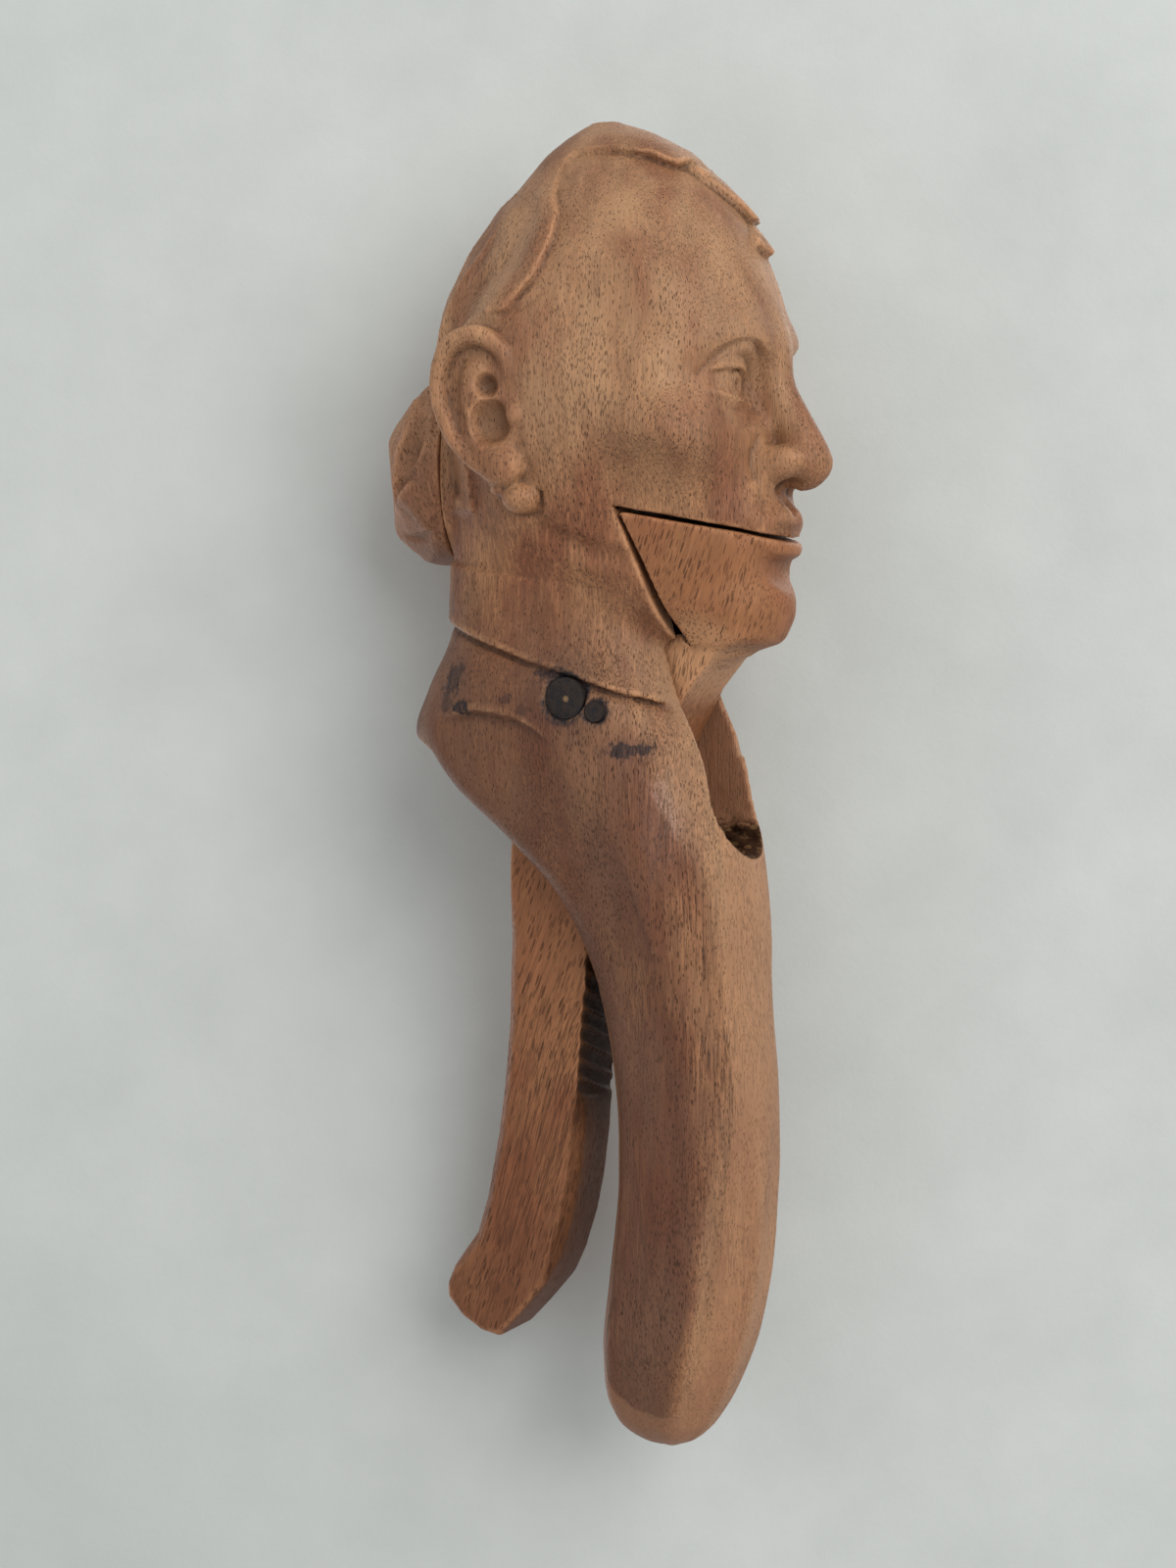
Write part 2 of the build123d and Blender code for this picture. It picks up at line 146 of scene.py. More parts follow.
class Field:
    """Distance values on a grid of x (side), f (forward) and z (up), in mm from the pivot."""

    def __init__(self, xs, fs, zs):
        self.xs, self.fs, self.zs = (np.asarray(v, f32) for v in (xs, fs, zs))
        self.X, self.F, self.Z = self.xs[:, None, None], self.fs[None, :, None], self.zs[None, None, :]
        self.d = None

    def window(self, lo, hi):
        sl = []
        for v, a, b in zip((self.xs, self.fs, self.zs), lo, hi):
            sl.append(slice(int(np.searchsorted(v, a)), int(np.searchsorted(v, b))))
        sl = tuple(sl)
        return sl, self.X[sl[0]], self.F[:, sl[1]], self.Z[:, :, sl[2]]

    def stations(self, rows):
        zk = [r[0] for r in rows]
        z = self.zs
        f0, a, b, n = (spline(zk, [r[i] for r in rows], z).astype(f32)[None, None, :] for i in (1, 2, 3, 4))
        u, v = np.abs(self.X) / a, np.abs(self.F - f0) / b
        g = (u ** n + v ** n) ** (1 / n) + 1e-4
        r = np.sqrt(self.X ** 2 + (self.F - f0) ** 2)
        d = r * (1 - 1 / g)
        d = np.maximum(d, self.Z - zk[-1])
        return np.maximum(d, zk[0] - self.Z)

    def normalise(self, d, lim=6.0):
        d = np.clip(d, -lim * 2, lim * 2)
        gx = np.gradient(d, self.xs, axis=0)
        g2 = gx * gx
        gx = np.gradient(d, self.fs, axis=1)
        g2 += gx * gx
        gx = np.gradient(d, self.zs, axis=2)
        g2 += gx * gx
        return (d / np.clip(np.sqrt(g2), 0.6, 4)).astype(f32)

    def apply(self, sl, e, k, sign):
        if sign > 0:
            self.d[sl] = smin(self.d[sl], e, k)
        else:
            self.d[sl] = smax(self.d[sl], -e, k)

    def blob(self, c, r, k=1.0, sign=1, tilt=0.0, yaw=0.0, mirror=True):
        """Add or cut an ellipsoid; tilt turns it about x, yaw about z (degrees)."""
        R = max(r) + k + 1
        for s in ((1, -1) if mirror and c[0] else (1,)):
            cx = s * c[0]
            sl, x, f, z = self.window((cx - R, c[1] - R, c[2] - R), (cx + R, c[1] + R, c[2] + R))
            if 0 in [q.stop - q.start for q in sl]:
                continue
            px, pf, pz = x - cx, f - c[1], z - c[2]
            if yaw:
                a = math.radians(yaw) * s
                px, pf = px * math.cos(a) - pf * math.sin(a), px * math.sin(a) + pf * math.cos(a)
            if tilt:
                a = math.radians(tilt)
                pf, pz = pf * math.cos(a) - pz * math.sin(a), pf * math.sin(a) + pz * math.cos(a)
            q0 = np.sqrt((px / r[0]) ** 2 + (pf / r[1]) ** 2 + (pz / r[2]) ** 2)
            q1 = np.sqrt((px / r[0] ** 2) ** 2 + (pf / r[1] ** 2) ** 2 + (pz / r[2] ** 2) ** 2)
            self.apply(sl, q0 * (q0 - 1) / np.maximum(q1, 1e-5), k, sign)

    def tube(self, pts, k=1.0, sign=1, mirror=True, n=6):
        """Add or cut a tube through (x, f, z, radius) points."""
        base = dense(pts, n)
        for s in ((1, -1) if mirror else (1,)):
            p = base.copy()
            p[:, 0] *= s
            R = p[:, 3].max() + k + 1
            lo, hi = p[:, :3].min(0) - R, p[:, :3].max(0) + R
            sl, x, f, z = self.window(lo, hi)
            if 0 in [q.stop - q.start for q in sl]:
                continue
            e = None
            for a, b in zip(p[:-1], p[1:]):
                v = b[:3] - a[:3]
                L = float(v @ v) + 1e-9
                wx, wf, wz = x - a[0], f - a[1], z - a[2]
                t = np.clip((wx * v[0] + wf * v[1] + wz * v[2]) / L, 0, 1)
                q = np.sqrt((wx - v[0] * t) ** 2 + (wf - v[1] * t) ** 2 + (wz - v[2] * t) ** 2) - (a[3] + (b[3] - a[3]) * t)
                e = q if e is None else np.minimum(e, q)
            self.apply(sl, e.astype(f32), k, sign)

    def front(self, x, z):
        """Forward-most surface at (x, z)."""
        i, k = int(np.argmin(abs(self.xs - x))), int(np.argmin(abs(self.zs - z)))
        col = self.d[i, :, k]
        j = np.where(col < 0)[0]
        if not len(j):
            return 0.0
        j = j[-1]
        if j + 1 >= len(col):
            return float(self.fs[j])
        t = col[j] / (col[j] - col[j + 1])
        return float(self.fs[j] + t * (self.fs[j + 1] - self.fs[j]))

    def side(self, f, z):
        """Outermost surface on the +x side at (f, z)."""
        j, k = int(np.argmin(abs(self.fs - f))), int(np.argmin(abs(self.zs - z)))
        col = self.d[:, j, k]
        i = np.where(col < 0)[0]
        if not len(i):
            return 0.0
        i = i[-1]
        t = col[i] / (col[i] - col[i + 1])
        return float(self.xs[i] + t * (self.xs[i + 1] - self.xs[i]))

    def near(self, lo, hi, band=3.0):
        """Cells of a window near the surface, with their coordinates as flat lists."""
        sl, x, f, z = self.window(lo, hi)
        part = self.d[sl]
        m = np.abs(part) < band
        i, j, k = np.nonzero(m)
        return (i + sl[0].start, j + sl[1].start, k + sl[2].start), self.xs[i + sl[0].start], self.fs[j + sl[1].start], self.zs[k + sl[2].start]


def noise3(x, y, z, seed=0):
    """Smooth value noise in -1..1 with unit cells."""
    xi, yi, zi = np.floor(x).astype(np.int64), np.floor(y).astype(np.int64), np.floor(z).astype(np.int64)
    u, v, w = x - xi, y - yi, z - zi
    u, v, w = u * u * (3 - 2 * u), v * v * (3 - 2 * v), w * w * (3 - 2 * w)

    def h(a, b, c):
        n = (a * 73856093) ^ (b * 19349663) ^ (c * 83492791) ^ (seed * 2654435761)
        n = (n ^ (n >> 13)) * 1274126177
        return ((n ^ (n >> 16)) & 0xFFFF) / 32767.5 - 1.0
    r = 0
    for a, wa in ((0, 1 - u), (1, u)):
        for b, wb in ((0, 1 - v), (1, v)):
            for c, wc in ((0, 1 - w), (1, w)):
                r = r + wa * wb * wc * h(xi + a, yi + b, zi + c)
    return r


def gouge(x, y, z, seed=0):
    """Shallow scoops meeting in ridges: 1 in the middle of a scoop, 0 on the ridges, unit cells, flat arrays."""
    xi, yi, zi = (np.floor(v).astype(np.int64) for v in (x, y, z))
    best = np.full(x.shape, 9.0)
    for a in (-1, 0, 1):
        for b in (-1, 0, 1):
            for c in (-1, 0, 1):
                ca, cb, cc = xi + a, yi + b, zi + c
                n = (ca * 73856093) ^ (cb * 19349663) ^ (cc * 83492791) ^ (seed * 2654435761)
                n = (n ^ (n >> 13)) * 1274126177
                n = n ^ (n >> 16)
                d = ((ca + (n & 1023) / 1023.0 * 0.8 + 0.1 - x) ** 2 + (cb + ((n >> 10) & 1023) / 1023.0 * 0.8 + 0.1 - y) ** 2
                     + (cc + ((n >> 20) & 1023) / 1023.0 * 0.8 + 0.1 - z) ** 2)
                best = np.minimum(best, d)
    return np.clip(1 - best / 0.75, 0, 1)


def sample(fd, p):
    """Trilinear value of a field at points (n, 3)."""
    idx, w = [], []
    for v, c in zip((fd.xs, fd.fs, fd.zs), p.T):
        i = np.clip(np.searchsorted(v, c) - 1, 0, len(v) - 2)
        idx.append(i)
        w.append(np.clip((c - v[i]) / (v[i + 1] - v[i]), 0, 1))
    out = 0
    for a in (0, 1):
        for b in (0, 1):
            for c in (0, 1):
                wt = (w[0] if a else 1 - w[0]) * (w[1] if b else 1 - w[1]) * (w[2] if c else 1 - w[2])
                out = out + wt * fd.d[idx[0] + a, idx[1] + b, idx[2] + c]
    return out


def surface(fd, keep_largest=True):
    """Surface nets over the field; returns vertices in mm (x, f, z), quads and a convexity value per vertex."""
    d = fd.d
    s = d < 0
    c = np.zeros(tuple(n - 1 for n in d.shape), np.uint8)
    for a in (0, 1):
        for b in (0, 1):
            for e in (0, 1):
                c += s[a:d.shape[0] - 1 + a, b:d.shape[1] - 1 + b, e:d.shape[2] - 1 + e]
    act = (c > 0) & (c < 8)
    I, J, K = np.nonzero(act)
    index = np.full(act.shape, -1, np.int32)
    index[I, J, K] = np.arange(len(I), dtype=np.int32)
    pos = np.zeros((len(I), 3))
    cnt = np.zeros(len(I))
    axes = (fd.xs, fd.fs, fd.zs)
    base = (I, J, K)
    corner = [(a, b, e) for a in (0, 1) for b in (0, 1) for e in (0, 1)]
    for p0 in corner:
        for ax in range(3):
            if p0[ax]:
                continue
            p1 = list(p0)
            p1[ax] = 1
            d0 = d[I + p0[0], J + p0[1], K + p0[2]]
            d1 = d[I + p1[0], J + p1[1], K + p1[2]]
            m = (d0 < 0) != (d1 < 0)
            t = d0[m] / (d0[m] - d1[m])
            for q in range(3):
                lo = axes[q][base[q][m] + p0[q]]
                if q == ax:
                    lo = lo + t * (axes[q][base[q][m] + 1] - lo)
                pos[m, q] += lo
            cnt[m] += 1
    pos /= cnt[:, None]
    quads = []
    for ax in range(3):
        o = [1, 2, 0][ax], [2, 0, 1][ax]
        a = [slice(None)] * 3
        b = [slice(None)] * 3
        a[ax], b[ax] = slice(0, -1), slice(1, None)
        s0, s1 = s[tuple(a)], s[tuple(b)]
        e = np.nonzero(s0 != s1)
        e = [q.copy() for q in e]
        ok = np.ones(len(e[0]), bool)
        for q in o:
            ok &= (e[q] > 0) & (e[q] < d.shape[q] - 1)
        e = [q[ok] for q in e]
        flip = s0[tuple(e)]

        def cell(du, dv):
            q = [v.copy() for v in e]
            q[o[0]] = q[o[0]] - du
            q[o[1]] = q[o[1]] - dv
            return index[q[0], q[1], q[2]]
        quad = np.stack([cell(1, 1), cell(0, 1), cell(0, 0), cell(1, 0)], 1)
        quad[~flip] = quad[~flip][:, ::-1]
        quads.append(quad)
    quads = np.concatenate(quads)
    # pull each vertex onto the surface
    g = 0.25
    for _ in range(2):
        dv = sample(fd, pos)
        gr = np.stack([sample(fd, pos + o) - sample(fd, pos - o) for o in np.eye(3) * g], 1) / (2 * g)
        n2 = np.maximum((gr ** 2).sum(1), 0.09)
        pos -= np.clip(dv / n2, -0.3, 0.3)[:, None] * gr * 0.85
    gr /= np.linalg.norm(gr, axis=1)[:, None] + 1e-9
    conv = 0
    for o in np.vstack([np.eye(3), -np.eye(3)]) * 1.6:
        conv = conv + np.clip(sample(fd, pos + o - gr * (o @ gr.T)[:, None]), -1.5, 1.5)
    return pos, quads, conv / 6


def largest_part(n, quads):
    """Mask of the vertices in the largest connected part."""
    lab = np.arange(n)
    e = np.concatenate([quads[:, [0, 1]], quads[:, [1, 2]], quads[:, [2, 3]], quads[:, [3, 0]]])
    while True:
        m = np.minimum(lab[e[:, 0]], lab[e[:, 1]])
        new = lab.copy()
        np.minimum.at(new, e[:, 0], m)
        np.minimum.at(new, e[:, 1], m)
        new = new[new]
        if (new == lab).all():
            break
        lab = new
    ids, counts = np.unique(lab, return_counts=True)
    return lab == ids[np.argmax(counts)]


def mesh_object(name, fd, body, node, mat, extra=None):
    pos, quads, conv = surface(fd)
    keep = largest_part(len(pos), quads)
    if not keep.all():
        remap = np.cumsum(keep) - 1
        quads = remap[quads[keep[quads].all(1)]]
        pos, conv = pos[keep], conv[keep]
    co = np.stack([pos[:, 0], PY - pos[:, 1], PZ + pos[:, 2]], 1) / 1000.0
    quads = quads[:, ::-1]
    me = bpy.data.meshes.new(name)
    me.vertices.add(len(co))
    me.vertices.foreach_set("co", co.astype(f32).ravel())
    me.loops.add(quads.size)
    me.loops.foreach_set("vertex_index", quads.astype(np.int32).ravel())
    me.polygons.add(len(quads))
    me.polygons.foreach_set("loop_start", np.arange(0, quads.size, 4, dtype=np.int32))
    me.polygons.foreach_set("loop_total", np.full(len(quads), 4, np.int32))
    me.polygons.foreach_set("use_smooth", np.ones(len(quads), bool))
    me.update(calc_edges=True)
    me.validate()
    at = me.attributes.new("conv", 'FLOAT', 'POINT')
    at.data.foreach_set("value", conv.astype(f32))
    ob = bpy.data.objects.new(name, me)
    bpy.context.scene.collection.objects.link(ob)
    me.materials.append(mat)
    if node:
        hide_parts(node)
    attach(ob, body)
    print(name, "verts", len(co), "quads", len(quads), flush=True)
    return ob


# ------------------------------------------------------------------ the carved head
def sculpt_head(fd):
    """Head blank with face, ears and hair. Used for the body and, below the mouth line, for the jaw."""
    fd.d = fd.normalise(fd.stations(HEAD))
    # broad planes of the face
    fd.blob((0, 18.0, 25.5), (11.5, 10.0, 10.0), 5)                              # muzzle
    fd.blob((15.0, 15.0, 38.5), (7.6, 8.0, 6.2), 6)                              # cheekbone
    fd.blob((23.8, 12.5, 25.5), (5.2, 9.0, 9.5), 7, -1, yaw=-18)                 # hollow below it
    fd.blob((27.2, 7.5, 57.5), (5.6, 9.5, 8.5), 6, -1)                           # temple
    fd.blob((0, 21.0, 13.6), (7.6, 7.4, 6.4), 5)                                 # chin
    fd.tube([(2.2, 24.0, 51.8, 2.4), (8.5, 23.0, 53.4, 2.7), (14.4, 18.6, 52.6, 2.3), (18.2, 13.8, 49.0, 1.6)], 4)     # brow
    # eye sockets
    fd.blob((9.8, 28.6, 46.4), (7.8, 6.6, 5.2), 2.4, -1)
    fd.blob((5.0, 27.4, 45.6), (2.8, 3.2, 4.4), 2.4, -1)
    # nose
    fd.tube([(0, 23.4, 55.6, 3.0), (0, 25.0, 50.8, 2.9), (0, 26.4, 47.0, 2.7), (0, 28.6, 42.4, 2.8), (0, 31.0, 37.4, 3.3), (0, 31.7, 35.2, 3.6)], 3.0, mirror=False)
    fd.blob((4.0, 27.6, 34.7), (2.7, 4.8, 2.7), 1.9, tilt=-16)
    fd.blob((0, 29.0, 32.8), (2.0, 3.8, 1.9), 1.6, mirror=False)
    wing = [(6.3, 38.4, 0.35), (7.7, 35.6, 0.6), (7.6, 32.8, 0.35)]
    fd.tube([(x, fd.front(x, z) + 0.15, z, r) for x, z, r in wing], 0.9, -1)     # crease round the wing
    fd.blob((2.7, 29.6, 31.4), (1.5, 2.6, 1.5), 0.8, -1, yaw=20)                 # nostril
    # eyes: ball, lids, crease
    ex, ef, ez, er = 9.5, 18.3, 46.4, 5.9
    fd.blob((ex, ef, ez), (er + 0.1, er, er), 0.35)
    for s in (1, -1):
        sl, x, f, z = fd.window((s * ex - 9, ef - 2, ez - 8), (s * ex + 9, ef + 9, ez + 8))
        px, pf, pz = x - s * ex, f - ef, z - ez
        r = np.sqrt(px ** 2 + pf ** 2 + pz ** 2)
        tilt = pz - 0.06 * s * px
        ang = np.arctan2(tilt, np.maximum(pf, 0.05))
        for sign, edge, thick in ((1, math.radians(19), 1.15), (-1, math.radians(17), 0.9)):
            wedge = (edge - sign * ang) * r                                     # outside the lid's own side
            lid = smax(r - (er + thick), wedge, 0.3)
            lid = smax(lid, (er - 1.5) - r, 0.4)
            fd.d[sl] = smin(fd.d[sl], lid.astype(f32), 0.4)
        iris = np.abs(np.sqrt(px ** 2 + (pz + 0.1) ** 2) - 2.2) - 0.24          # cut ring of the iris
        fd.d[sl] = smax(fd.d[sl], -smax(smax(iris, -pf, 0.1), np.abs(r - er) - 0.28, 0.2), 0.25)
        pupil = np.sqrt(px ** 2 + (pf - er) ** 2 + (pz + 0.1) ** 2) - 1.0
        fd.d[sl] = smax(fd.d[sl], -pupil, 0.3)
    lid_top = [(ex + dx, 0, ez + dz) for dx, dz in ((-6.0, 1.4), (-3.6, 4.6), (0, 5.9), (3.8, 4.8), (6.8, 1.2))]
    fd.tube([(x, fd.front(x, z) + 0.1, z, r) for (x, _, z), r in zip(lid_top, (0.35, 0.65, 0.75, 0.65, 0.35))], 0.6, -1)
    bag = [(ex + dx, 0, ez + dz) for dx, dz in ((-5.2, -3.4), (-1.5, -5.6), (3.0, -5.4), (6.2, -3.0))]
    fd.tube([(x, fd.front(x, z) + 0.2, z, r) for (x, _, z), r in zip(bag, (0.2, 0.5, 0.5, 0.2))], 0.8, -1)
    # mouth: upper and lower lip either side of the jaw line
    up = [(-8.6, 25.3, 0.7), (-5.6, 26.1, 1.3), (-2.2, 27.1, 1.75), (0, 26.7, 1.6), (2.2, 27.1, 1.75), (5.6, 26.1, 1.3), (8.6, 25.3, 0.7)]
    fd.tube([(x, fd.front(x, z) - 0.55, z, r) for x, z, r in up], 1.3, mirror=False)
    lo = [(-7.6, 24.0, 0.7), (-4.6, 22.7, 1.5), (0, 22.2, 2.1), (4.6, 22.7, 1.5), (7.6, 24.0, 0.7)]
    fd.tube([(x, fd.front(x, z) - 0.5, z, r) for x, z, r in lo], 1.3, mirror=False)
    fd.tube([(x, fd.front(x, z) + 0.6, z, r) for x, z, r in ((-5.2, 19.2, 0.8), (0, 18.6, 1.9), (5.2, 19.2, 0.8))], 2.2, -1, mirror=False)
    fd.tube([(0, fd.front(0, 30.2) + 0.5, 30.4, 0.9), (0, fd.front(0, 28.9) + 0.5, 28.8, 1.1)], 1.4, -1, mirror=False)   # philtrum
    fd.tube([(8.9, fd.front(8.9, 25.4) + 0.3, 25.6, 0.8), (10.2, fd.front(10.2, 24.0) + 0.4, 24.0, 0.9)], 1.2, -1)      # mouth corner
    # ears
    ear = (-11.6, 43.6)
    ang = math.radians(13)

    def e(df, dz):
        return ear[0] + df * math.cos(ang) - dz * math.sin(ang), ear[1] + df * math.sin(ang) + dz * math.cos(ang)
    side = fd.side(*ear)
    fd.blob((side - 0.9, ear[0], ear[1]), (3.0, 6.6, 11.8), 0.8, tilt=-13)
    rim = [(3.0, -0.2, -0.6, 0.9), (5.2, 3.0, 0.5, 1.3), (4.9, 7.2, 1.0, 1.5), (1.4, 10.3, 1.2, 1.6), (-3.4, 9.7, 1.3, 1.55), (-6.5, 4.6, 1.3, 1.45),
           (-6.2, -2.0, 1.1, 1.3), (-3.9, -7.2, 0.9, 1.2), (-0.8, -10.2, 0.8, 1.2)]
    fd.tube([(side + h, *e(df, dz), r) for df, dz, h, r in rim], 0.5)
    bowl = [(2.6, 5.4, 2.0, 0.9), (0.6, 7.6, 2.3, 1.4), (-2.6, 6.6, 2.3, 1.5), (-4.2, 2.4, 2.2, 1.3), (-3.9, -2.8, 2.0, 0.9)]
    fd.tube([(side + h, *e(df, dz), r) for df, dz, h, r in bowl], 0.4, -1)
    fd.blob((side + 2.4, *e(1.6, 2.6)), (2.4, 1.9, 2.1), 0.4, -1, tilt=-30)       # hollow under the rim
    fd.blob((side + 2.6, *e(1.0, -3.0)), (3.5, 3.5, 3.7), 0.5, -1, tilt=-13)      # bowl
    fd.blob((side + 0.3, *e(5.0, -2.4)), (1.8, 1.8, 2.5), 0.6)                    # tragus
    fd.blob((side + 0.3, *e(-1.6, -7.0)), (1.9, 1.9, 1.7), 0.6)
    fd.blob((side + 0.2, *e(0.9, -9.4)), (2.4, 3.5, 3.3), 0.6)                    # lobe
    front_cut = [(6.9, 7.4, 0.3, 0.3), (7.3, 3.4, 0.3, 0.7), (6.4, -0.2, 0.3, 0.7), (7.3, -3.6, -0.1, 0.6), (6.0, -7.0, -0.4, 0.5), (4.8, -10.6, -0.9, 0.3)]
    fd.tube([(side + h, *e(df, dz), r) for df, dz, h, r in front_cut], 0.35, -1)
    fd.blob((side - 1.6, -6.4, 29.9), (2.7, 3.1, 2.6), 0.4, tilt=10)              # ear drop
    fd.blob((side - 1.4, -9.6, 31.6), (1.9, 1.7, 1.5), 0.35)
    fd.tube([(side - 1.9, -10.6, 29.4, 0.3), (side - 1.7, -8.0, 27.4, 0.5), (side - 1.9, -3.8, 27.4, 0.5), (side - 1.3, -2.8, 31.0, 0.3)], 0.4, -1)
    hair(fd)
    return fd


HAIRLINE = [(-21.0, 28.0), (-20.5, 44.0), (-19.5, 52.0), (-17.7, 56.9), (-12.6, 62.3), (-10.1, 67.5), (-8.5, 72.6), (-9.2, 75.6), (-8.6, 80.6),
            (-6.0, 82.4), (-0.8, 82.6), (2.1, 82.2), (5.0, 81.7), (7.0, 80.5), (9.0, 79.7), (11.2, 80.4), (16.0, 81.0), (16.0, 99.0), (-60.0, 99.0), (-60.0, 28.0)]


def onside(fd, u, z, out=0.0):
    """Point of the +x side seen at the slanted place u, height z."""
    x = 20.0
    for _ in range(5):
        f = (u + 0.4226 * x) / 0.906
        x = fd.side(f, z) or x
    return x + out, (u + 0.4226 * x) / 0.906, z


def hair(fd):
    idx, x, f, z = fd.near((-27, -32, 28), (27, 27, 92), 4.0)
    u = 0.906 * f - 0.4226 * np.abs(x)
    s = -poly_sdf(HAIRLINE, u, z).astype(float) + 0.55 * noise3(x / 7, f / 7, z / 8, 3)
    s = np.where((z < 54.5) & (f > -16.5), np.minimum(s, -5.0), s)
    ed = ((f + 11.6) * math.cos(0.227) + (z - 43.6) * math.sin(0.227)) / 8.0
    ez = (-(f + 11.6) * math.sin(0.227) + (z - 43.6) * math.cos(0.227)) / 13.6
    off = sstep(np.hypot(ed, ez), 0.97, 1.10)
    m = sstep(s, -0.4, 0.6)
    side = sstep(-z, -79, -74)
    skin = 0.60 * np.exp(-np.maximum(-s, 0) / 5.0) * sstep(z, 54, 60)
    low = sstep(-z, -74, -62)
    lip = (0.25 + 0.40 * side) * sstep(-s, -3.9, -2.3) - (0.25 + 0.85 * low) * side * np.exp(-((s - 5.3) / 1.8) ** 2) + 0.35 * side * np.exp(-((s - 8.0) / 2.0) ** 2)
    cap = 0.75 * sstep(f, -2.0, 12.0) * sstep(z, 74, 80)
    # long gouge strokes that fall from the crown
    th = np.arctan2(x, -(f + 1.8))
    rad = np.hypot(x, f + 1.8)
    k = gouge(th * 3.4 + 0.35 * np.sin(z / 9.0), rad / 30.0, z / 26.0 + 0.3 * th, 7)
    fine = gouge(th * 8.0 + 0.6 * noise3(x / 9, f / 9, z / 12, 8), rad / 40.0, z / 16.0, 8)
    fade = sstep(s, 2.6, 7.0) * sstep(rad, 1.5, 7.0)
    strokes = -(0.30 + 0.90 * sstep(-z, -76, -67)) * np.clip((k - 0.30) / 0.55, 0, 1) - 0.30 * np.clip((fine - 0.3) / 0.5, 0, 1)
    disp = m * (lip + cap + strokes * fade) - (1 - m) * skin
    # fringe on the far side of the forehead: three locks, each ending in a step
    xb = np.interp(z, [67.4, 69.6, 71.0, 72.0, 75.4, 77.4, 79.8, 80.6, 83], [-1.2, -0.5, 1.5, 2.7, -1.0, -3.0, -3.5, -2.5, 2.0])
    reg = sstep(x - xb, -0.3, 0.5) * sstep(10.5 + 0.25 * (z - 72) - x, -0.4, 0.5) * sstep(z - 66.6 - 0.35 * np.abs(x - 3.0), -0.3, 0.6) * (f > 4)
    ramp = np.where(z > 80.8, 0.0, np.where(z > 72.4, 0.55 + 0.95 * (80.8 - z) / 8.4, 0.35 + 1.15 * (72.4 - z) / 5.6))
    curl = 0.35 * np.abs(np.sin((x * 0.55 + z * 0.42) * 1.5)) - 0.18
    disp = disp + reg * (ramp + curl * (ramp > 0.2) + (1 - m) * skin) * (1 - 0.0 * m)
    fd.d[idx] -= (disp * off).astype(f32)
    # a curl cut into the top lock, wisps in front of the ear
    for run, r, k in (((((4.4, 86.6), (6.2, 85.0), (6.6, 83.4), (7.6, 81.8), (8.6, 80.6))), 0.5, 0.5),
                      (((-19.2, 56.9), (-15.0, 57.4), (-11.6, 60.0), (-9.9, 64.2)), 0.5, 0.5),
                      (((-17.3, 55.2), (-13.4, 56.5), (-10.2, 59.0), (-9.2, 62.3)), 0.4, 0.5),
                      (((-9.2, 79.4), (-7.4, 78.6), (-6.9, 77.0), (-7.8, 76.0)), 0.5, 0.5)):
        pts = [onside(fd, u_, z_, 0.12) for u_, z_ in run]
        fd.tube([(*p, r * w) for p, w in zip(pts, np.interp(np.linspace(0, 1, len(pts)), [0, 0.5, 1], [0.5, 1.0, 0.4]))], k, -1)


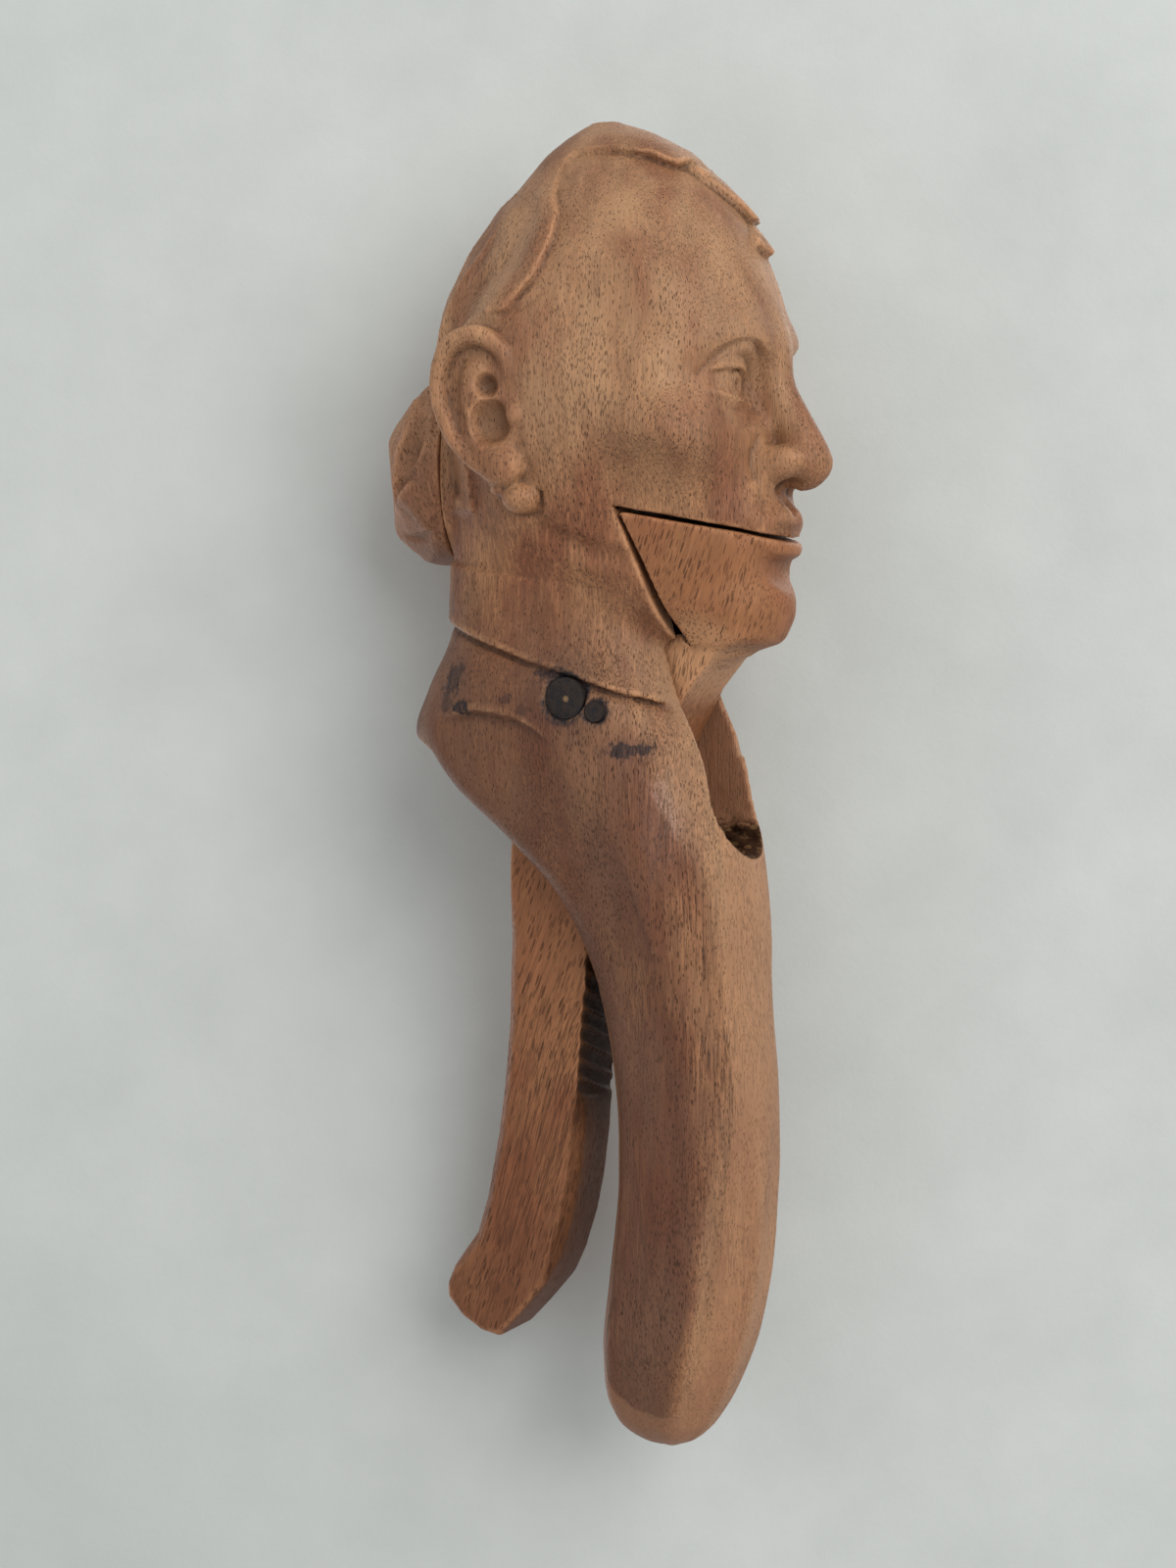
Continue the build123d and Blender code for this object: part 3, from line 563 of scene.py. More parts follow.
# ------------------------------------------------------------------ body block
def build_body():
    top = -26.0
    zs = np.concatenate([np.arange(-119.0, top, STEP * 1.7), np.arange(top, 91.0, STEP)])
    fd = Field(np.arange(-27.5, 27.6, STEP), np.arange(-33.0, 39.1, STEP), zs)
    sculpt_head(fd)
    # no pit left between the lobe and the cheek
    fold = [onside(fd, u, z, -0.6) for u, z in ((-13.7, 41.0), (-13.5, 38.8), (-13.3, 36.4))]
    fd.tube([(*p, r) for p, r in zip(fold, (0.6, 0.85, 0.7))], 1.0, 1)
    head = fd.d
    fd.d = fd.normalise(fd.stations(TORSO))
    X, F, Z = fd.X, fd.F, fd.Z
    # long knife facets: the flat side from shoulder to foot, the bevel along the back, the front corners low down
    zk = [r[0] for r in TORSO]
    f0, a, b = (spline(zk, [r[i] for r in TORSO], fd.zs).astype(f32)[None, None, :] for i in (1, 2, 3))
    edge = np.interp(F, [-32, -24, -15, -8, -4.4, -0.8, 3, 7, 12], [-5.2, -3.2, -1.7, -2.7, -4.2, -6.7, -11.0, -20.0, -38.0]).astype(f32)
    facets = None
    for deg, keep, lift in ((-8, 0.932, 0.16 * sstep(Z - edge, -1.2, 1.2)), (-64, 0.945, 0.12 * sstep(Z, -9, -5)), (48, 0.930, 0.22 * sstep(Z, -84, -36)),
                            (90, 0.965, 0.20 * sstep(Z, -84, -36)), (-90, 0.965, 0.15 * sstep(Z, -60, -36))):
        t = math.radians(deg)
        h = np.sqrt((a * math.cos(t)) ** 2 + (b * math.sin(t)) ** 2) * (keep + lift)
        e = np.abs(X) * math.cos(t) + (F - f0) * math.sin(t) - h
        facets = e if facets is None else smax(facets, e, 0.35)
    fd.d = smax(fd.d, facets.astype(f32), 0.45)
    # long shallow strokes of the knife
    idx, x, f, z = fd.near((-30, -36, -120), (30, 36, 14), 2.5)
    th = np.arctan2(f - np.interp(z, fd.zs, f0[0, 0]), x)
    g = gouge(th * 2.1 + 0.15 * np.sin(z / 17.0), z * 0, z / 44.0 + th * 0.4, 51)
    fd.d[idx] += (0.30 * g * (0.35 + 0.65 * sstep(-z, 20, 50))).astype(f32)
    # collar band round the neck, its lower lip standing off the shoulder
    idx, x, f, z = fd.near((-27, -32, -8), (27, 27, 26), 4.0)
    wob = 0.35 * noise3(x / 9, f / 9, z / 9, 21)
    lo, hi = 3.3 - 0.335 * f + wob, 16.6 - 0.18 * f - wob
    band = sstep(z, lo - 0.25, lo + 0.45) * sstep(-z, -hi - 0.3, -hi + 0.3)
    flare = 0.30 * np.exp(-np.maximum(z - lo, 0) / 4.0)
    worn = 0.55 + 0.45 * sstep(noise3(f / 5, x / 9, z * 0, 23), -0.6, 0.3)
    disp = band * (0.40 + flare) - 0.55 * worn * np.exp(-((z - lo + 0.45) / 0.5) ** 2) - 0.22 * np.exp(-((z - hi - 0.4) / 0.5) ** 2)
    disp -= 0.25 * np.exp(-np.maximum(lo - z - 0.6, 0) / 3.0) * (z < lo)
    fd.d[idx] -= (disp * sstep(-f, -14.5, -11.5)).astype(f32)
    neck = fd.d
    head_cut = poly_sdf(CUT, F[0], Z[0])[None]
    head = smax(head, -head_cut, 0.35)
    fd.d = smin(neck, head, 2.6)
    fd.d = smax(fd.d, -head_cut, 0.35)
    # crease under the ear drop and the jaw's edge on the neck
    side = [(fd.side(f, z), f, z) for f, z in ((-4.0, 25.6), (0.0, 23.4), (5.0, 21.4), (9.0, 20.6))]
    fd.tube([(x + 0.25, f, z, r) for (x, f, z), r in zip(side, (0.4, 0.9, 0.9, 0.3))], 2.2, -1)
    # shallow tool marks over the whole block, and wood left proud round the iron
    idx, x, f, z = fd.near((-27, -33, -119), (27, 39, 91), 1.6)
    g = gouge(x / 5.5 + 0.02 * z, f / 5.5, z / 9.0, 77)
    fd.d[idx] += (0.17 * (g - 0.5) * (0.45 + 0.55 * sstep(z, 8, 24))).astype(f32)
    idx, x, f, z = fd.near((-22, -5, -9), (-14, 13, 6), 4.0)
    fd.d[idx] -= (0.95 * np.exp(-((f - 6.0) / 4.5) ** 2 - ((z + 1.8) / 4.2) ** 2)).astype(f32)
    # slot for the lever with its drilled lower end
    slot = smax(poly_sdf(SLOT, F[0], Z[0])[None], np.abs(X) - SLOT_HALF, 0.5)
    bore = smax(np.sqrt(X ** 2 + (Z + 16.2) ** 2) - 8.0, 6.0 - F, 0.4)
    rough = 0.25 * noise3(X / 1.1 + 0 * F + 0 * Z, Z / 1.1 + 0 * X + 0 * F, F / 3.0 + 0 * X + 0 * Z, 31).astype(f32) * sstep(-Z, 17.5, 20)
    crumb = noise3(X / 2.0 + 0 * F + 0 * Z, Z / 1.8 + 0 * X + 0 * F, F / 2.3 + 0 * X + 0 * Z, 33) + 0.6 * noise3(X / 1.2 + 0 * F + 0 * Z, Z / 1.2 + 0 * X + 0 * F, F / 1.3 + 0 * X + 0 * Z, 34)
    rough = rough + (0.9 * crumb).astype(f32) * sstep(-Z, 17.5, 20.5) * sstep(F, 6, 9) * sstep(-fd.d, 0.5, 1.7)
    fd.d = smax(fd.d, -smin(slot, bore, 0.3) + rough, 0.55)
    # shaved flats along the front rims of the slot
    for s in (1, -1):
        n = np.array((s * 0.62, 0.78, 0.05))
        n /= np.linalg.norm(n)
        c = np.array((s * 12.6, 15.0, -6.0))
        sl, x, f, z = fd.window((-30 if s < 0 else 0, 4, -24), (0 if s < 0 else 30, 30, 8))
        e = (x - c[0]) * n[0] + (f - c[1]) * n[1] + (z - c[2]) * n[2] + ((z + 7) / 22.0) ** 2 * -3.0
        fd.d[sl] = smax(fd.d[sl], e.astype(f32), 0.7)
    # a chip out of the far rim
    fd.blob((9.4, 17.8, -7.2), (1.6, 1.0, 2.6), 0.3, -1, mirror=False)
    # scoop of the palate, pin bore, counterbores, brad hole
    e = smax(np.sqrt(X ** 2 + (F - 15.5) ** 2 + (Z - 19.2) ** 2) - 10.5, 24.5 - Z, 0.4)
    fd.d = smax(fd.d, -e, 0.5)
    bore = np.sqrt(F ** 2 + Z ** 2)
    fd.d = smax(fd.d, PIN_R - bore + 0 * X, 0.25)
    fd.d = smax(fd.d, -smax(bore - 3.2, 17.2 - np.abs(X), 0.2), 0.3)
    fd.d = smax(fd.d, -smax(np.sqrt((F - 4.9) ** 2 + (Z + 2.0) ** 2) - 1.6, X + 17.9, 0.2), 0.3)
    # wood carried out to the glue line, and the seat of the bun
    boss = smax(bun_outline(X, Z) + 0.5 + 0 * F, smax(-(F + 25.6), F + 14.0, 0.2), 0.4)
    fd.d = smin(fd.d, boss.astype(f32), 1.6)
    seat = smax(bun_outline(X, Z) - 0.05, F - GLUE_F, 0.2)
    fd.d = smax(fd.d, -seat, 0.3)
    return fd


def bun_outline(x, z):
    """Outline of the bun's glued face, negative inside."""
    n = 2.5
    a, b = 12.0, np.where(z > 35, 14.6, 14.4)
    u, v = np.abs(x) / a, np.abs(z - 35.0) / b
    g = (u ** n + v ** n) ** (1 / n) + 1e-4
    r = np.sqrt(x ** 2 + (z - 35.0) ** 2)
    return r * (1 - 1 / g)


def build_bun():
    st = STEP * 0.8
    fd = Field(np.arange(-15, 15.1, st), np.arange(-42.0, -22.0, st), np.arange(17, 53, st))
    x, f, z = fd.X, fd.F, fd.Z
    q = (np.abs(x / 12.7) ** 2.3 + np.abs((f + 26.5) / 12.0) ** 2.1 + np.abs((z - 35.0) / 16.8) ** 2.5 + 1e-9) ** (1 / 2.25)
    fd.d = fd.normalise(((q - 1) * 12.0).astype(f32))
    # flat knife cuts
    for n, keep in (((0.0, -0.62, -0.80), 0.93), ((0.75, -0.50, -0.55), 0.925), ((0.86, -0.42, 0.12), 0.945), ((0.0, -0.80, 0.60), 0.94),
                    ((0.60, -0.66, 0.50), 0.945), ((0.50, -0.86, -0.08), 0.96), ((0.95, -0.10, -0.34), 0.95), ((0.80, -0.15, 0.58), 0.95), ((0.35, -0.60, 0.72), 0.95)):
        for side in ((1, -1) if n[0] else (1,)):
            m = np.array((n[0] * side, n[1], n[2])) / np.linalg.norm(n)
            h = math.sqrt((12.7 * m[0]) ** 2 + (12.0 * m[1]) ** 2 + (16.8 * m[2]) ** 2) * keep
            e = x * m[0] + (f + 26.5) * m[1] + (z - 35.0) * m[2] - h
            fd.d = smax(fd.d, e.astype(f32), 0.35)
    # locks of the knot: a slanting roll, the hollow behind it, and the furrows between the locks
    for run, lift, k, sign in ((((-31.4, 45.4, 1.0), (-32.9, 40.3, 1.3), (-33.9, 37.4, 1.3), (-34.6, 33.6, 0.8)), -0.45, 1.0, 1),
                               (((-29.6, 44.2, 0.8), (-30.8, 41.2, 1.8), (-31.8, 38.2, 1.9), (-32.8, 35.6, 1.0)), 0.75, 0.9, -1),
                               (((-34.7, 30.6, 0.5), (-34.2, 32.5, 0.8), (-32.8, 34.0, 0.8), (-30.6, 34.4, 0.4)), 0.1, 0.4, -1),
                               (((-34.2, 41.2, 0.6), (-33.2, 43.6, 0.8), (-31.3, 47.4, 0.5)), 0.1, 0.6, -1),
                               (((-33.4, 25.2, 0.4), (-31.6, 24.6, 0.7), (-29.4, 24.9, 0.7), (-27.4, 26.6, 0.4)), 0.2, 0.5, -1),
                               (((-27.6, 46.0, 0.4), (-28.2, 38.0, 0.8), (-27.8, 30.0, 0.7), (-27.0, 24.0, 0.4)), 0.3, 0.6, -1)):
        pts = [onside(fd, u_, z_, 0.0) for u_, z_, r in run]
        fd.tube([(p[0] + lift * 0.75, p[1] - lift * 0.6, p[2], r[2]) for p, r in zip(pts, run)], k, sign)
    for run, k in ((((0, -38.2, 43.0, 0.6), (5.0, -37.6, 36.0, 0.9), (7.0, -35.6, 28.0, 0.6)), 0.5), (((0, -36.0, 47.0, 0.5), (-5.0, -38.0, 39.0, 0.9), (-3.0, -38.4, 31.0, 0.6)), 0.5)):
        fd.tube(run, k, -1, mirror=False)
    idx, gx, gf, gz = fd.near((-15, -42, 17), (15, -22, 53), 2.0)
    g = gouge(gx / 4.2 + 0.05 * gz, gf / 4.2, gz / 9.0, 91)
    fd.d[idx] += (0.32 * (g - 0.4)).astype(f32)
    fd.d = smax(fd.d, bun_outline(x, z) + 0 * f, 0.35)
    fd.d = smax(fd.d, f - (GLUE_F - 0.05) + 0 * x, 0.25).astype(f32)
    return fd


# ------------------------------------------------------------------ jaw lever
def build_lever():
    st = STEP * 0.94
    fd = Field(np.arange(-22.0, 22.01, st), np.arange(-29.0, 36.0, st), np.arange(-102.0, 29.0, st))
    sub = Field(fd.xs, np.arange(-5.0, 38.0, st), np.arange(5.0, 31.0, st))
    # face below the mouth line, from the same carving as the head
    whole = Field(np.arange(-27.5, 27.6, st), np.arange(-33.0, 39.1, st), np.arange(5.0, 91.0, st))
    sculpt_head(whole)
    X, F, Z = fd.X, fd.F, fd.Z
    ii = [np.clip(np.searchsorted(w, v - 1e-3), 0, len(w) - 1) for w, v in ((whole.xs, fd.xs), (whole.fs, fd.fs), (whole.zs, fd.zs))]
    face = sample_grid(whole, fd)
    jaw = smax(face, poly_sdf(JAW, F[0], Z[0])[None], 0.4)
    # planed cheek of the jaw and the underside of the chin
    for s in (1, -1):
        n = np.array((s * 0.80, 0.20, -0.56))
        n /= np.linalg.norm(n)
        e = (X - s * 13.6) * n[0] + (F - 15.0) * n[1] + (Z - 12.5) * n[2]
        jaw = smax(jaw, e.astype(f32), 0.7)
    half = TANG_HALF - (TANG_HALF - GRIP_HALF) * sstep(-Z, 14, 40) - 0.35 * sstep(-Z, 80, 99)
    flat = smin(poly_sdf(TANG, F[0], Z[0]), poly_sdf(GRIP, F[0], Z[0]), 0.2)[None]
    lever = smax(flat, np.abs(X) - half, 0.45)
    bevel = (flat + np.abs(X) - half) * 0.7071 + 0.2 + (1.0 - 0.75 * sstep(-Z, 86, 94)) * sstep(-Z, 26, 40) * (1 - 0.65 * sstep(-Z, 40, 46) * sstep(Z, -66, -60) * sstep(F, -9, -7))
    lever = smax(lever, bevel, 0.4)
    # gripping ridges, cut on a slant across the inner face
    ridge_z = Z + 0.34 * X + 42.0
    m = sstep(-Z, 38.5, 41.0) * sstep(Z, -63.5, -61.5)
    inner = sstep(flat, -1.9, -0.7) * sstep(F, -9.0, -6.0)
    saw = np.abs(((ridge_z / 2.75) % 1.0) - 0.5) * 2
    lever = lever + (m * inner * sstep(half - np.abs(X), 0.1, 1.3) * (1.0 * (1 - saw ** 1.5))).astype(f32)
    fd.d = smin(jaw, lever, 2.8)
    # nothing of the smooth joint may foul the slot
    guard = smax(np.abs(X) - TANG_HALF, -F * 0 + (-1e3), 0.3)
    below = (Z < 4.5) & (F < 17.5)
    fd.d = np.where(below, np.maximum(fd.d, guard), fd.d)
    e = np.sqrt(X ** 2 + (F - 15.5) ** 2 + (Z - 33.2) ** 2) - 10.5
    fd.d = smax(fd.d, -e, 0.5)
    fd.d = smax(fd.d, (PIN_R + 0.06) - np.sqrt(F ** 2 + Z ** 2) + 0 * X, 0.25)
    fd.d = smax(fd.d, poly_guard(F, Z), 0.3).astype(f32)
    return fd


def grip_bevel(f, z):
    return poly_sdf(GRIP, f[0], z[0])[None]


def poly_guard(f, z):
    """Keeps the jaw below the mouth line and off the neck."""
    line = poly_sdf([(8.1, 27.8), (16.0, 26.3), (24.0, 24.8), (50.0, 17.7), (50.0, -130.0), (-60.0, -130.0), (-60.0, 9.0), (0.0, 9.6), (14.0, 9.6), (15.9, 7.4), (11.4, 20.0)], f[0], z[0])[None]
    return line


def sample_grid(src, dst):
    """Values of one grid at the cells of another."""
    out = src.d
    for ax, (v, c) in enumerate(zip((src.xs, src.fs, src.zs), (dst.xs, dst.fs, dst.zs))):
        i = np.clip(np.searchsorted(v, c) - 1, 0, len(v) - 2)
        t = np.clip((c - v[i]) / (v[i + 1] - v[i]), 0, 1).astype(f32)
        a, b = np.take(out, i, axis=ax), np.take(out, i + 1, axis=ax)
        shape = [1, 1, 1]
        shape[ax] = len(c)
        t = t.reshape(shape)
        out = a * (1 - t) + b * t
        bad = (c < v[0] - 0.5) | (c > v[-1] + 0.5)
        if bad.any():
            out = np.where(bad.reshape(shape), 8.0, out)
    return out.astype(f32)


# ------------------------------------------------------------------ materials
class Nodes:
    def __init__(self, name):
        self.mat = bpy.data.materials.new(name)
        self.mat.use_nodes = True
        self.t = self.mat.node_tree
        self.t.nodes.clear()
        self.out = self.t.nodes.new("ShaderNodeOutputMaterial")

    def put(self, sock, v):
        if isinstance(v, bpy.types.NodeSocket):
            self.t.links.new(v, sock)
        elif v is not None:
            sock.default_value = v

    def add(self, kind, out=0, ins=None, **props):
        n = self.t.nodes.new(kind)
        for k, v in props.items():
            setattr(n, k, v)
        for k, v in (ins or {}).items():
            self.put(n.inputs[k], v)
        return n.outputs[out] if out is not None else n

    def math(self, op, a, b=0.0, c=0.0, clamp=False):
        return self.add("ShaderNodeMath", 0, {0: a, 1: b, 2: c}, operation=op, use_clamp=clamp)

    def vec(self, op, a, b=(0, 0, 0), out=0):
        n = self.t.nodes.new("ShaderNodeVectorMath")
        n.operation = op
        self.put(n.inputs[0], a)
        if op == 'SCALE':
            self.put(n.inputs['Scale'], b)
        else:
            self.put(n.inputs[1], b)
        return n.outputs[out]

    def noise(self, v, scale=1.0, detail=3.0, rough=0.55, dist=0.0, out=0):
        return self.add("ShaderNodeTexNoise", out, {"Vector": v, "Scale": scale, "Detail": detail, "Roughness": rough, "Distortion": dist}, noise_dimensions='3D')

    def ramp(self, v, stops, interp='LINEAR'):
        n = self.t.nodes.new("ShaderNodeValToRGB")
        n.color_ramp.interpolation = interp
        while len(n.color_ramp.elements) < len(stops):
            n.color_ramp.elements.new(0.5)
        for el, (p, c) in zip(n.color_ramp.elements, stops):
            el.position = p
            el.color = (c, c, c, 1) if not isinstance(c, tuple) else (*c, 1)
        self.put(n.inputs[0], v)
        return n.outputs[0]

    def mix(self, fac, a, b, mode='MIX'):
        n = self.t.nodes.new("ShaderNodeMix")
        n.data_type, n.blend_type = 'RGBA', mode
        self.put(n.inputs['Factor'], fac)
        self.put(n.inputs['A'], (*a, 1) if isinstance(a, tuple) and len(a) == 3 else a)
        self.put(n.inputs['B'], (*b, 1) if isinstance(b, tuple) and len(b) == 3 else b)
        return n.outputs['Result']

    def smooth(self, v, lo, hi, a=0.0, b=1.0):
        return self.add("ShaderNodeMapRange", 0, {"Value": v, "From Min": lo, "From Max": hi, "To Min": a, "To Max": b}, interpolation_type='SMOOTHSTEP')


def wood(name, light, mid, dark, red, lean=(0, 0, 0), pore=(2.5, 2.5, 0.58), depth=1.0, shift=(0, 0, 0), stains_and_painted_light=True, gloss=True, inner=False, lever_tint_and_painted_light=False):
    """Oiled walnut: long fibres, short dark pores, cloudy figure, worn light edges, painted shade in the hollows, and
    painted light and shade on chosen faces.
    """
    N = Nodes(name)
    obj = N.add("ShaderNodeTexCoord", 3)
    P = N.vec('SCALE', obj, 1000.0)
    p0 = P
    warp = N.add("ShaderNodeTexNoise", 1, {"Vector": N.vec('MULTIPLY', P, (0.035, 0.035, 0.02)), "Scale": 1.0, "Detail": 1.5})
    G = N.add("ShaderNodeMapping", 0, {"Vector": P, "Rotation": lean, "Location": shift})
    G = N.vec('ADD', G, N.vec('SCALE', N.vec('SUBTRACT', warp, (0.5, 0.5, 0.5)), 5.0))
    # cloudy patches and the rings of the tree
    patch = N.noise(N.vec('MULTIPLY', G, (0.052, 0.052, 0.024)), 1.0, 3.0, 0.55, 0.6)
    patch2 = N.noise(N.vec('ADD', N.vec('MULTIPLY', G, (0.11, 0.11, 0.045)), (7.3, 1.1, 4.2)), 1.0, 2.5, 0.5)
    axis = N.vec('MULTIPLY', N.vec('ADD', G, (34.0, -22.0, 0.0)), (1.0, 1.0, 0.10))
    dist = N.vec('LENGTH', axis, out=1)
    wob = N.noise(N.vec('MULTIPLY', G, (0.06, 0.06, 0.02)), 1.0, 2.0)
    ring = N.math('SINE', N.math('MULTIPLY', N.math('ADD', dist, N.math('MULTIPLY', wob, 16.0)), 1.55))
    ring = N.math('MULTIPLY_ADD', ring, 0.5, 0.5)
    streak = N.noise(N.vec('MULTIPLY', G, (1.9, 1.9, 0.10)), 1.0, 4.0, 0.62)
    fibre = N.noise(N.vec('MULTIPLY', G, (3.4, 3.4, 0.26)), 1.0, 3.0, 0.6)
    # pores: short dashes along the grain, in three sizes
    pores = None
    for k, (scl, cut, soft, keep, amp) in enumerate((((1.0, 1.0, 1.0), 0.17, 0.08, 0.22, 0.9), ((0.66, 0.66, 0.40), 0.105, 0.05, 0.38, 0.7), ((1.7, 1.7, 1.5), 0.20, 0.12, 0.12, 0.6))):
        vp = N.vec('ADD', N.vec('MULTIPLY', N.vec('MULTIPLY', G, pore), scl), (3.1 * k, 9.2 * k, 5.5 * k))
        vor = N.add("ShaderNodeTexVoronoi", None, {"Vector": vp, "Scale": 1.0, "Randomness": 1.0}, feature='F1')
        crowd = N.noise(N.vec('ADD', N.vec('MULTIPLY', G, (0.10, 0.10, 0.035)), (k * 4.0, 0, 0)), 1.0, 2.0)
        size = N.math('MULTIPLY_ADD', crowd, cut * 2.6, cut * -0.35)
        q = N.smooth(N.math('SUBTRACT', vor.outputs['Distance'], size), 0.0, soft, amp, 0.0)
        q = N.math('MULTIPLY', q, N.smooth(N.add("ShaderNodeSeparateColor", 0, {"Color": vor.outputs['Color']}), keep, keep + 0.2))
        pores = q if pores is None else N.math('MAXIMUM', pores, q)
    # colour
    col = N.mix(N.ramp(patch, [(0.34, 0.0), (0.62, 1.0)]), mid, light)
    col = N.mix(N.math('MULTIPLY', N.ramp(patch2, [(0.42, 0.0), (0.62, 1.0)]), 0.88), col, red)
    col = N.mix(N.math('MULTIPLY', N.ramp(patch, [(0.22, 1.0), (0.42, 0.0)]), 0.7), col, dark)
    col = N.mix(N.math('MULTIPLY', N.ramp(ring, [(0.05, 0.0), (0.95, 1.0)]), 0.22), col, dark)
    col = N.mix(N.math('MULTIPLY', N.ramp(streak, [(0.38, 1.0), (0.62, 0.0)]), 0.42), col, dark)
    col = N.mix(N.math('MULTIPLY', N.ramp(streak, [(0.52, 0.0), (0.75, 1.0)]), 0.40), col, light)
    col = N.mix(N.math('MULTIPLY', N.ramp(fibre, [(0.36, 1.0), (0.54, 0.0)]), 0.42), col, dark)
    col = N.mix(N.math('MULTIPLY', N.ramp(fibre, [(0.52, 0.0), (0.70, 1.0)]), 0.22), col, light)
    up = N.vec('DOT_PRODUCT', p0, (0.0, 0.0, 1.0), out=1)
    hair_line = N.noise(N.vec('MULTIPLY', G, (4.2, 4.2, 0.16)), 1.0, 2.5, 0.55)
    crowd2 = N.ramp(N.noise(N.vec('MULTIPLY', G, (0.16, 0.16, 0.05)), 1.0, 2.0), [(0.40, 0.25), (0.60, 1.0)])
    lines = N.math('MULTIPLY', N.ramp(hair_line, [(0.38, 1.0), (0.47, 0.0)]), crowd2)
    lines = N.math('MULTIPLY', lines, N.smooth(up, PZ - 4.0, PZ + 22.0, 1.0, 0.45))
    col = N.mix(N.math('MULTIPLY', lines, 0.74), col, tuple(c * 0.50 for c in dark))
    if lever_tint_and_painted_light:
        # painted light: the throat of the lever lightened, standing in for light that falls on it past the chin
        q = N.vec('LENGTH', N.vec('MULTIPLY', N.vec('SUBTRACT', p0, (0.0, PY - 17.0, PZ + 6.0)), (1 / 30.0, 1 / 7.5, 1 / 8.0)), out=1)
        col = N.mix(N.smooth(q, 0.45, 1.15, 0.75, 0.0), col, (0.60, 0.335, 0.175))
    else:
        old = N.math('MULTIPLY', N.smooth(up, PZ + 16.0, PZ + 52.0, 0.0, 1.0), N.ramp(patch2, [(0.30, 1.0), (0.62, 0.35)]))
        col = N.mix(N.math('MULTIPLY', old, 0.62), col, (0.44, 0.262, 0.142))
    if stains_and_painted_light:
        nf = N.vec('DOT_PRODUCT', N.add("ShaderNodeTexCoord", 1), (0.0, -1.0, 0.0), out=1)
        grip = N.smooth(up, PZ + 2.0, PZ + 24.0, 1.0, 0.0)
        cloud = N.ramp(patch2, [(0.25, 0.70), (0.65, 1.0)])
        # painted shade: faces below the collar turned back or sideways darkened, as if turned away from the light
        col = N.mix(N.math('MULTIPLY', N.math('MULTIPLY', N.smooth(nf, -0.25, 0.95, 0.84, 0.0), grip), cloud), col, (0.104, 0.035, 0.017))
        # painted shade: low faces not turned forward darkened towards the foot
        toe = N.math('MULTIPLY', N.smooth(up, PZ - 112.0, PZ - 62.0, 0.38, 0.0), N.smooth(nf, 0.20, 0.60, 1.0, 0.0))
        col = N.mix(toe, col, (0.085, 0.034, 0.018))
        # painted light: faces below the collar turned forward lightened, as if turned toward the light
        col = N.mix(N.math('MULTIPLY', N.smooth(nf, 0.55, 0.95, 0.0, 0.45), grip), col, (0.47, 0.290, 0.160))
        grey = N.ramp(N.noise(N.vec('MULTIPLY', G, (0.075, 0.075, 0.03)), 1.0, 3.0, 0.6), [(0.38, 0.0), (0.60, 1.0)])
        col = N.mix(N.math('MULTIPLY', grey, N.math('MULTIPLY', grip, 0.30)), col, (0.170, 0.098, 0.060))
    if lever_tint_and_painted_light:
        # darker towards the bottom of the lever
        col = N.mix(N.smooth(up, PZ - 98.0, PZ - 50.0, 0.55, 0.0), col, dark)
        # painted light: the upper lever lightened, offsetting the shadow the shoulder casts on it
        col = N.mix(N.smooth(up, PZ - 62.0, PZ - 38.0, 0.0, 0.35), col, light)
    conv = N.add("ShaderNodeAttribute", 2, attribute_name="conv", attribute_type='GEOMETRY')
    rub = N.noise(N.vec('MULTIPLY', p0, (0.35, 0.35, 0.2)), 1.0, 3.0, 0.6)
    edge = N.math('MULTIPLY', N.smooth(conv, 0.10, 0.42), N.ramp(rub, [(0.35, 0.35), (0.6, 1.0)]))
    pale = tuple(min(1.0, c * 1.35 + 0.02) for c in light)
    col = N.mix(N.math('MULTIPLY', edge, 0.55), col, pale)
    # painted shade: concave places (low conv) darkened towards a deep brown, standing in for the shade that falls in
    # hollows
    hollow = N.smooth(conv, -0.03, -0.42)
    deep = tuple(c * 0.42 for c in dark)
    col = N.mix(N.math('MULTIPLY', hollow, 0.62), col, deep)
    col = N.mix(N.math('MULTIPLY', pores, 0.74), col, tuple(c * 0.33 for c in dark))
    if inner:
        # painted shade: the lever's forward-turned inner face, in the gap behind the front handle, darkened nearly to
        # black where shadow falls, with less specular there too
        nrm = N.vec('DOT_PRODUCT', N.add("ShaderNodeTexCoord", 1), (0.0, -1.0, 0.0), out=1)
        low = N.smooth(up, PZ - 34.0, PZ - 26.0, 1.0, 0.0)
        painted_gap_shade = N.math('MULTIPLY', N.smooth(nrm, 0.35, 0.75), low)
        painted_gap_shade = N.math('MULTIPLY', painted_gap_shade, N.math('MULTIPLY_ADD', rub, 0.3, 0.68))
        painted_gap_shade = N.math('MULTIPLY', painted_gap_shade, N.smooth(up, PZ - 72.0, PZ - 60.0, 0.42, 1.0))
        col = N.mix(painted_gap_shade, col, (0.020, 0.010, 0.006))
    rough = N.math('MULTIPLY_ADD', N.noise(N.vec('MULTIPLY', p0, (0.2, 0.2, 0.12)), 1.0, 3.0), 0.24, 0.40)
    rough = N.math('MULTIPLY_ADD', pores, 0.25, rough)
    coat = None
    spec = N.math('MULTIPLY_ADD', painted_gap_shade, -0.22, 0.25) if inner else 0.25
    if stains_and_painted_light:
        jag = N.noise(N.vec('MULTIPLY', G, (0.62, 0.62, 0.48)), 1.0, 5.0, 0.70)
        jag2 = N.noise(N.vec('MULTIPLY', G, (0.35, 0.35, 0.2)), 1.0, 3.0, 0.6)
